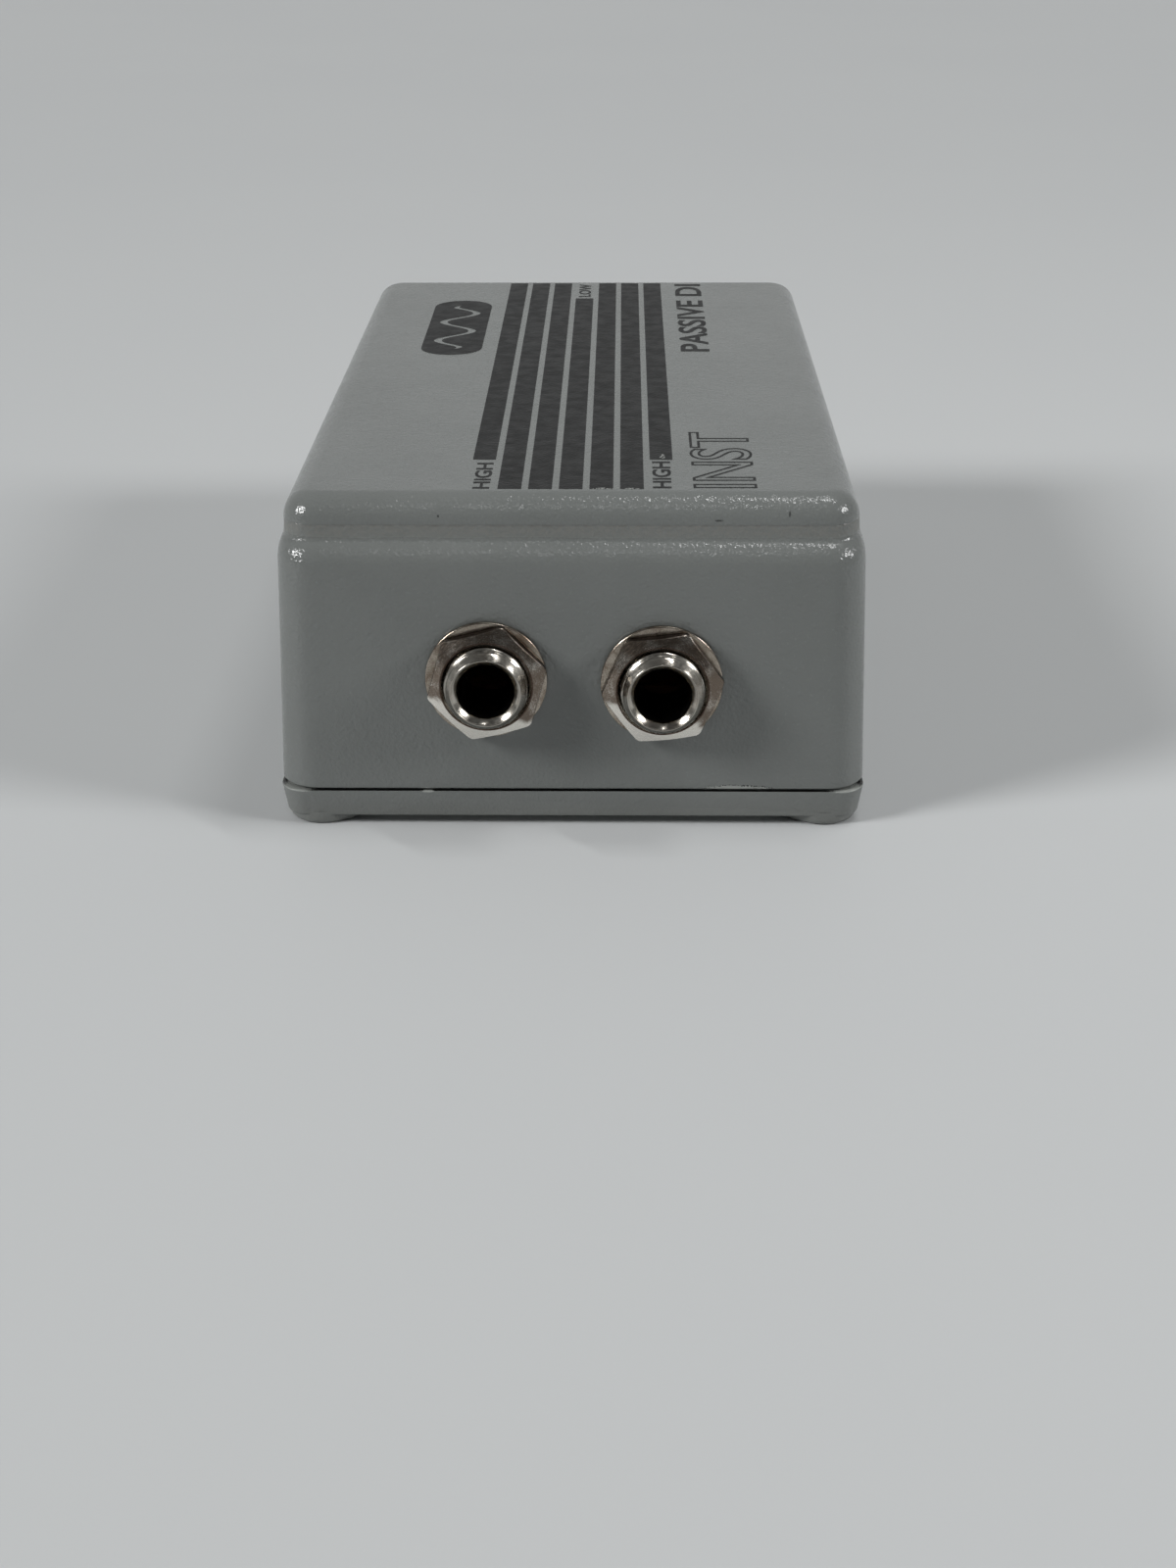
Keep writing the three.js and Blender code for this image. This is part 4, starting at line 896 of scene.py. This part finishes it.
def make_output_shell():
    """A die-cast flange with a raised ring round the cup, and the barrel behind it."""
    low, high = cad_span("output_shell")
    face = high.y
    half_x, half_z = (high.x - low.x) / 2, (high.z - low.z) / 2
    flange_rear = REAR + 0.25
    edge = ((flange_rear, 0.1, 2.9), (flange_rear + 0.1, 0, 3), (face - 0.45, 0, 3), (face - 0.2, 0.08, 2.95),
            (face - 0.05, 0.25, 2.8), (face, 0.5, 2.6), (face, 0.9, 2.2))
    levels = [(y, half_x - inset, half_z - inset, radius) for y, inset, radius in edge]
    shell = new_piece("output_shell_fine", loft(upright_rings(levels, OUTPUT, 10)))
    barrel = [(0, low.y), (BARREL_RADIUS - 0.3, low.y), (BARREL_RADIUS, low.y + 0.3),
              (BARREL_RADIUS, face - 0.6), (11.6, face - 0.6), (11.6, face)]
    barrel += arc(11.1, face + 0.25, 0.35, 0, 90, 5)
    barrel += [(0, face + 0.6)]
    combine(shell, [turned("barrel", barrel, OUTPUT, 128)], "UNION")
    cup = [(0, low.y - 1), (CUP_RADIUS, low.y - 1), (CUP_RADIUS, face - 0.1),
           (CUP_RADIUS + 0.5, face + 0.62), (CUP_RADIUS + 0.5, face + 2), (0, face + 2)]
    top = OUTPUT.z + CUP_RADIUS
    cutters = [
        turned("cup", cup, OUTPUT, 128),
        block("keyway", (OUTPUT.x - 1.6, face - 12.5, top - 1), (OUTPUT.x + 1.6, face + 3, top + 0.6)),
    ]
    for name in ("low", "high"):
        cutters.append(hole_along_y(cad_middle("output_screw_" + name), flange_rear - 1, face + 2, 1.75, 32))
    combine(shell, cutters, "DIFFERENCE")
    mount(shell, CAST_NICKEL, "output_shell")


def make_output_insert():
    """The black nylon disc that holds the pins, with a countersunk pocket round each."""
    low, high = cad_span("output_insert")
    rim, pocket, flare = CUP_RADIUS - 0.12, 1.32, 1.85
    rows = [(0, low.y), (rim - 0.3, low.y), (rim, low.y + 0.3), (rim, high.y - 0.5),
            (rim - 0.12, high.y - 0.2), (rim - 0.4, high.y), (0, high.y)]
    insert = turned("output_insert_fine", rows, OUTPUT, 96)
    rows = [(0, low.y - 1), (pocket, low.y - 1), (pocket, high.y - 0.5), (flare, high.y - 0.45),
            (flare, high.y + 1), (0, high.y + 1)]
    pockets = [turned("pocket", rows, cad_middle(f"output_pin_{index}"), 48) for index in (1, 2, 3)]
    combine(insert, pockets, "DIFFERENCE")
    mount(insert, BLACK_PLASTIC, "output_insert")


def make_output_pins():
    """Round-nosed pins, each with an open solder cup at its back."""
    for index in (1, 2, 3):
        node = f"output_pin_{index}"
        low, high = cad_span(node)
        middle = (low + high) / 2
        radius = (high.x - low.x) / 2
        cup = radius - 0.45
        rows = [(0, low.y + 2.5), (cup, low.y + 2.4), (cup, low.y + 0.06), (cup + 0.15, low.y),
                (radius - 0.06, low.y), (radius, low.y + 0.08)]
        rows += arc(0.25, high.y - 0.95, 0.95, 0, 90, 8)
        rows += [(0, high.y)]
        pin = turned(node + "_fine", rows, middle, 40)
        opening = block("opening", (middle.x - 2, low.y - 1, middle.z),
                        (middle.x + 2, low.y + 2.5, middle.z + 2))
        combine(pin, [opening], "DIFFERENCE")
        mount(pin, SILVER, node)


def make_pan_screw(node):
    """A pan-head screw along Y, with its head at the rear, a domed top and a cross recess."""
    low, high = cad_span(node)
    middle = (low + high) / 2
    head = (high.x - low.x) / 2
    seat, rim = high.y - 1.3, high.y - 0.85
    shank = head * 0.55
    rows = [(0, low.y), (shank - 0.2, low.y), (shank, low.y + 0.25)]
    rows += thread_rows(low.y + 0.3, seat - 0.3, 36, 0.6, shank, shank - 0.2)
    rows += [(shank, seat), (head - 0.12, seat), (head, seat + 0.1), (head, rim)]
    for step in range(1, 7):
        angle = TURN / 4 * step / 7
        rows.append((head * math.cos(angle) ** 0.8, rim + 0.85 * math.sin(angle)))
    rows.append((0, high.y))
    screw = turned(node + "_fine", rows, middle, 48)
    combine(screw, cross_recess(middle, "Y", head * 0.6, 0.34, high.y + 0.3, high.y - 1.0), "DIFFERENCE")
    mount(screw, ZINC, node)


def make_lever():
    """The switch's lever: a rounded nylon peg with three grip grooves, on the carriage that slides."""
    size = LEVER_HIGH - LEVER_LOW
    middle = (LEVER_LOW + LEVER_HIGH) / 2
    end = LEVER_HIGH.y
    carriage_front = LEVER_LOW.y + 2.6
    carriage = block("lift_switch_lever_fine", LEVER_LOW, (LEVER_HIGH.x, carriage_front, LEVER_HIGH.z))
    bevel(carriage, 0.2, 3)
    peg_rings = upright_rings([
        (carriage_front - 1, 2.0, 2.2, 0.35), (end - 0.5, 1.97, 2.17, 0.35), (end - 0.2, 1.9, 2.1, 0.35),
        (end, 1.65, 1.85, 0.3),
    ], middle, 5)
    peg = new_piece("peg", loft(peg_rings))
    combine(carriage, [peg], "UNION")
    grooves = []
    for row in (-1, 0, 1):
        z = middle.z + 1.3 * row
        profile = ((end + 0.1, z - 0.3), (end - 0.4, z - 0.08), (end - 0.4, z + 0.08), (end + 0.1, z + 0.3))
        rings = [[Vector((middle.x + x, y, up)) for y, up in profile] for x in (-size.x / 2, size.x / 2)]
        grooves.append(new_piece("groove", loft(rings)))
    combine(carriage, grooves, "DIFFERENCE")
    mount(carriage, BLACK_PLASTIC, "lift_switch_lever", "lift_lever")


def make_rear():
    make_output_shell()
    make_output_insert()
    make_output_pins()
    make_lever()
    for name in ("low", "high"):
        make_pan_screw("output_screw_" + name)
        make_pan_screw("lift_switch_screw_" + name)


# ---------------------------------------------------------------- print on the top

STRIPE_PITCH, STRIPE_WIDTH = 3.376, 2.604
STRIPE_MIDDLE = -0.05
PRINT_NEAR, PRINT_FAR, MIDDLE_STRIPE_FAR = 5.6, 114.4, 103.6    # measured back from the shell's front
LABEL_GAP = 11.6                         # the outer stripes start this much further back
EMBLEM_LEFT, EMBLEM_RIGHT, EMBLEM_NEAR, EMBLEM_FAR = -21.9, -13.6, 68.0, 102.0
TEXT_THICKNESS, TEXT_WEIGHT = 0.1, 0.018 # of letters one unit high, before they are laid on the top


def make_stripes(ink, worn_ink):
    """Seven stripes from front to rear. The outer two start behind a legend, the middle one ends early."""
    for index in range(7):
        middle = STRIPE_MIDDLE + (index - 3) * STRIPE_PITCH
        start = PRINT_NEAR + (LABEL_GAP if index in (0, 6) else 0)
        end = MIDDLE_STRIPE_FAR if index == 3 else PRINT_FAR
        low = (middle - STRIPE_WIDTH / 2, FRONT + start, INK_FOOT)
        high = (middle + STRIPE_WIDTH / 2, FRONT + end, INK_TOP)
        stripe = block(f"print_stripe_{index + 1}", low, high)
        mount(stripe, worn_ink if index in (4, 5, 6) else ink)


def text_mesh(name, words, thickness, offset=0.0):
    """Words as a thin solid, lying in the XY plane."""
    curve = bpy.data.curves.new(name, "FONT")
    curve.body = words
    curve.size = 1.0
    curve.extrude = thickness / 2
    curve.offset = offset
    curve.resolution_u = 8
    holder = add_object(name, curve)
    bpy.context.view_layer.update()
    mesh = bpy.data.meshes.new_from_object(holder.evaluated_get(bpy.context.evaluated_depsgraph_get()))
    bpy.data.objects.remove(holder)
    return mesh


def lay_words(mesh, corners, span):
    """Maps a text mesh on to the top, reading from the front end to the rear, letter tops to the left."""
    (u0, v0), (u1, v1) = corners
    x0, x1, y0, y1 = span
    half_height = 0.01
    for vertex in mesh.vertices:
        along = (vertex.co.x - u0) / (u1 - u0)
        up = (vertex.co.y - v0) / (v1 - v0)
        z = INK_TOP - half_height + half_height * vertex.co.z / (TEXT_THICKNESS / 2)
        vertex.co = Vector((x1 - up * (x1 - x0), FRONT + y0 + along * (y1 - y0), z)) * MM


def mesh_corners(mesh):
    xs = [v.co.x for v in mesh.vertices]
    ys = [v.co.y for v in mesh.vertices]
    return (min(xs), min(ys)), (max(xs), max(ys))


def make_words(name, words, span, ink, outline=0.0):
    """A printed word that fills a span (x0, x1, y0, y1), solid or as an outline of that relative width."""
    mesh = text_mesh(name, words, TEXT_THICKNESS, TEXT_WEIGHT)
    corners = mesh_corners(mesh)
    lay_words(mesh, corners, span)
    piece = add_object(name, mesh)
    if outline:
        inside = text_mesh(name + "_inside", words, 4 * TEXT_THICKNESS, TEXT_WEIGHT - outline)
        lay_words(inside, corners, span)
        combine(piece, [add_object(name + "_inside", inside)], "DIFFERENCE")
    mount(piece, ink)


def emblem_ring(y, from_end, share, side):
    """One cut through half of the emblem's bar, from the open wave line out to the bar's edge."""
    middle, radius = (EMBLEM_LEFT + EMBLEM_RIGHT) / 2, (EMBLEM_RIGHT - EMBLEM_LEFT) / 2
    half = math.sqrt(max(radius ** 2 - max(radius - from_end, 0.0) ** 2, 0.0))
    envelope = max(0.0, min(1.0, (from_end - 3.0) / 2.0))
    wave = 2.2 * math.sin(TURN * 3 * share) * envelope
    near, far = middle + wave + side * 0.55 * envelope, middle + side * half
    corners = ((near, INK_FOOT), (far, INK_FOOT), (far, INK_TOP), (near, INK_TOP))
    return [Vector((x, y, z)) for x, z in corners]


def make_emblem(ink):
    """A dark rounded bar with one wave line left open through it, as a plain sign for a signal."""
    steps = 96
    length = EMBLEM_FAR - EMBLEM_NEAR
    for name, side in (("left", -1), ("right", 1)):
        rings = []
        for step in range(steps + 1):
            share = step / steps
            from_end = length * min(share, 1 - share)
            rings.append(emblem_ring(FRONT + EMBLEM_NEAR + length * share, from_end, share, side))
        mount(new_piece("print_emblem_" + name, loft(rings)), ink)


def make_print():
    ink = print_ink("print_ink")
    worn_ink = print_ink("print_ink_worn", [
        ((3.6, FRONT + 5.6, CROWN), (1.5, 0.4, 1.0)),
        ((6.6, FRONT + 5.6, CROWN), (1.0, 0.3, 1.0)),
        ((10.2, FRONT + 18.4, CROWN), (0.35, 0.9, 1.0)),
    ])
    make_stripes(ink, worn_ink)
    make_words("print_left_legend", "HIGH", (-10.9, -9.0, 5.7, 15.8), ink)
    make_words("print_right_legend", "HIGH", (9.0, 11.1, 5.9, 16.4), ink)
    make_words("print_output_legend", "LOW", (-0.95, 0.85, 104.8, 113.6), ink)
    make_words("print_title", "PASSIVE DI", (13.5, 17.5, 70.0, 113.8), ink)
    make_words("print_outlined_word", "INST", (13.4, 20.6, 6.0, 29.0), ink, outline=0.03)
    make_emblem(ink)


# ---------------------------------------------------------------- finishes on the CAD nodes that stay

CAD_FINISHES = {
    "output_nut_low": ZINC, "output_nut_high": ZINC,
    "lift_switch_frame": STEEL, "lift_switch_base": PHENOLIC,
    "transformer_pad": FOAM, "transformer_bracket": ZINC, "transformer_core": LAMINATION,
    "transformer_bobbin": BOBBIN, "transformer_winding": WINDING_TAPE,
    "lift_resistor": RESISTOR, "lift_capacitor": CAPACITOR,
    "wire_tip_link": WIRES["yellow"], "wire_tip_to_coil": WIRES["red"], "wire_sleeve_link": WIRES["black"],
    "wire_sleeve_to_coil": WIRES["black"], "wire_hot": WIRES["white"], "wire_cold": WIRES["green"],
    "wire_ground": WIRES["black"],
}
JACK_FINISHES = {"lock_washer": STEEL, "insulator": PHENOLIC, "tip_lug": BRONZE, "tip_spring": BRONZE}
CAD_FINISHES.update(
    (f"{side}_jack_{part}", finish) for side in JACKS for part, finish in JACK_FINISHES.items())
CAD_FINISHES.update((f"lift_switch_terminal_{number}", SILVER) for number in (1, 2, 3))


def finish_cad_nodes():
    """Paints the CAD nodes that stay as they are, and softens the edges of all but the wires and leads."""
    for node, material in CAD_FINISHES.items():
        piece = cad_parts[node]
        piece.data.materials.clear()
        piece.data.materials.append(material)
        soften(piece, 35)
        if not node.startswith("wire_") and node not in ("lift_resistor", "lift_capacitor"):
            add_bevel(piece, 0.1, 2, 40)


# ---------------------------------------------------------------- camera, light and floor


CAMERA_PLACE = Vector((5.6, FRONT - 235.31, 110.81)) * MM
CAMERA_YAW, CAMERA_PITCH, CAMERA_ROLL = math.radians(-0.916), math.radians(24.131), math.radians(-0.215)
BOX_MIDDLE = (0, 0, 20)


def make_camera():
    """The camera stands in front of the jack end, a little above it, and looks down along the box."""
    data = bpy.data.cameras.new("camera")
    data.sensor_fit = "VERTICAL"
    data.sensor_height = 36.0
    data.lens = 52.11
    data.clip_start, data.clip_end = 0.01, 20.0
    camera = add_object("camera", data)
    bpy.context.scene.camera = camera
    across, ahead = math.sin(CAMERA_YAW), math.cos(CAMERA_YAW)
    forward = Vector((across, ahead, 0)) * math.cos(CAMERA_PITCH) - Vector((0, 0, math.sin(CAMERA_PITCH)))
    level = Vector((ahead, -across, 0))
    upward = level.cross(forward)
    right = math.cos(CAMERA_ROLL) * level + math.sin(CAMERA_ROLL) * upward
    up = -math.sin(CAMERA_ROLL) * level + math.cos(CAMERA_ROLL) * upward
    turn = Matrix((right, up, -forward)).transposed()
    camera.matrix_world = Matrix.Translation(CAMERA_PLACE) @ turn.to_4x4()


def hang_light(name, kind, power, place, aim):
    """A light at that place, in millimetres, turned towards its aim."""
    data = bpy.data.lights.new(name, kind)
    data.energy = power
    light = add_object(name, data)
    place, aim = Vector(place) * MM, Vector(aim) * MM
    turn = (aim - place).to_track_quat("-Z", "Y")
    light.matrix_world = Matrix.Translation(place) @ turn.to_matrix().to_4x4()
    return data


def softbox(name, place, aim, width, height, power):
    data = hang_light(name, "AREA", power, place, aim)
    data.shape = "RECTANGLE"
    data.size, data.size_y = width * MM, height * MM


def wide_light(name, direction, width, power):
    """A soft light far off in that direction, which looks that many degrees wide from the box."""
    hang_light(name, "SUN", power, direction, (0, 0, 0)).angle = math.radians(width)


def make_lights():
    wide_light("left_light", (-1020, -450, 660), 18, 1.95)
    wide_light("right_light", (1080, -300, 650), 18, 1.3)
    softbox("ceiling_lamp", (108, -39, 440), (90, -56, 30), 150, 9, 0.30)
    softbox("ceiling_spot", (0, -330, 520), BOX_MIDDLE, 24, 24, 0.08)
    make_world()
    bpy.context.scene.view_settings.view_transform = "Standard"


def make_world():
    """A studio with a pale backdrop, dim overhead and behind the camera, and bright below the box."""
    world = bpy.data.worlds.new("studio")
    bpy.context.scene.world = world
    world.use_nodes = True
    sky = Nodes(world.node_tree)
    direction = sky.node("ShaderNodeTexCoord").outputs["Generated"]
    up, away = sky.axis(direction, "Z"), sky.axis(direction, "Y")
    overhead = sky.rise(up, 0.0, 0.75, 0.48, 0.28)
    below = sky.rise(up, -0.3, -0.02, 2.5, 1.0)
    behind = sky.rise(away, -0.5, 0.6, 0.32, 1.0)
    background = world.node_tree.nodes["Background"]
    background.inputs["Color"].default_value = (0.98, 1.0, 1.0, 1)
    sky.feed(background.inputs["Strength"], sky.times(sky.times(overhead, below), behind))


def floor_opening():
    """The outline of the opening under the box: a rectangle with a round lobe under each boss."""
    half_x, half_y, notch = 27.0, 53.0, 4.0
    boss, radius = PILLAR + BOSS_SHIFT, 2.0
    lobe = [boss + radius * spoke(math.radians(angle)) for angle in range(190, -101, -29)]
    lobe = [Vector((half_x - notch, half_y)), *lobe, Vector((half_x, half_y - 3))]
    outline = []
    for out in OUTWARD.values():
        points = lobe if out.x * out.y < 0 else lobe[::-1]
        outline += [(out.x * point.x, out.y * point.y) for point in points]
    return outline


def make_floor():
    """A large pale table, seen from above only and open under the box, so that the underside is lit too."""
    bm = bmesh.new()
    reach = 9000.0
    for ring in ([out * reach for out in OUTWARD.values()], floor_opening()):
        corners = [bm.verts.new((*point, 0)) for point in ring]
        for index, corner in enumerate(corners):
            bm.edges.new((corners[index - 1], corner))
    bmesh.ops.triangle_fill(bm, edges=bm.edges[:], normal=(0, 0, 1))
    floor = new_piece("floor", bm)
    finish = Finish("pale_table")
    shade = finish.blend(finish.noise(160.0, 3.0), colour(206, 208, 208), colour(202, 204, 205))
    finish.done(shade, 0.6, finish.bump(finish.noise(1.2, 3.0), 0.01))
    either = finish.node("ShaderNodeMixShader")
    finish.feed(either.inputs[0], finish.node("ShaderNodeNewGeometry").outputs["Backfacing"])
    finish.feed(either.inputs[1], finish.shader.outputs[0])
    finish.feed(either.inputs[2], finish.node("ShaderNodeBsdfTransparent").outputs[0])
    finish.feed(finish.tree.nodes["Material Output"].inputs["Surface"], either.outputs[0])
    floor.data.materials.append(finish.material)


# ---------------------------------------------------------------- build

make_camera()
make_shell()
make_cover()
make_cover_screws()
make_jacks()
make_rear()
make_print()
finish_cad_nodes()
make_lights()
make_floor()
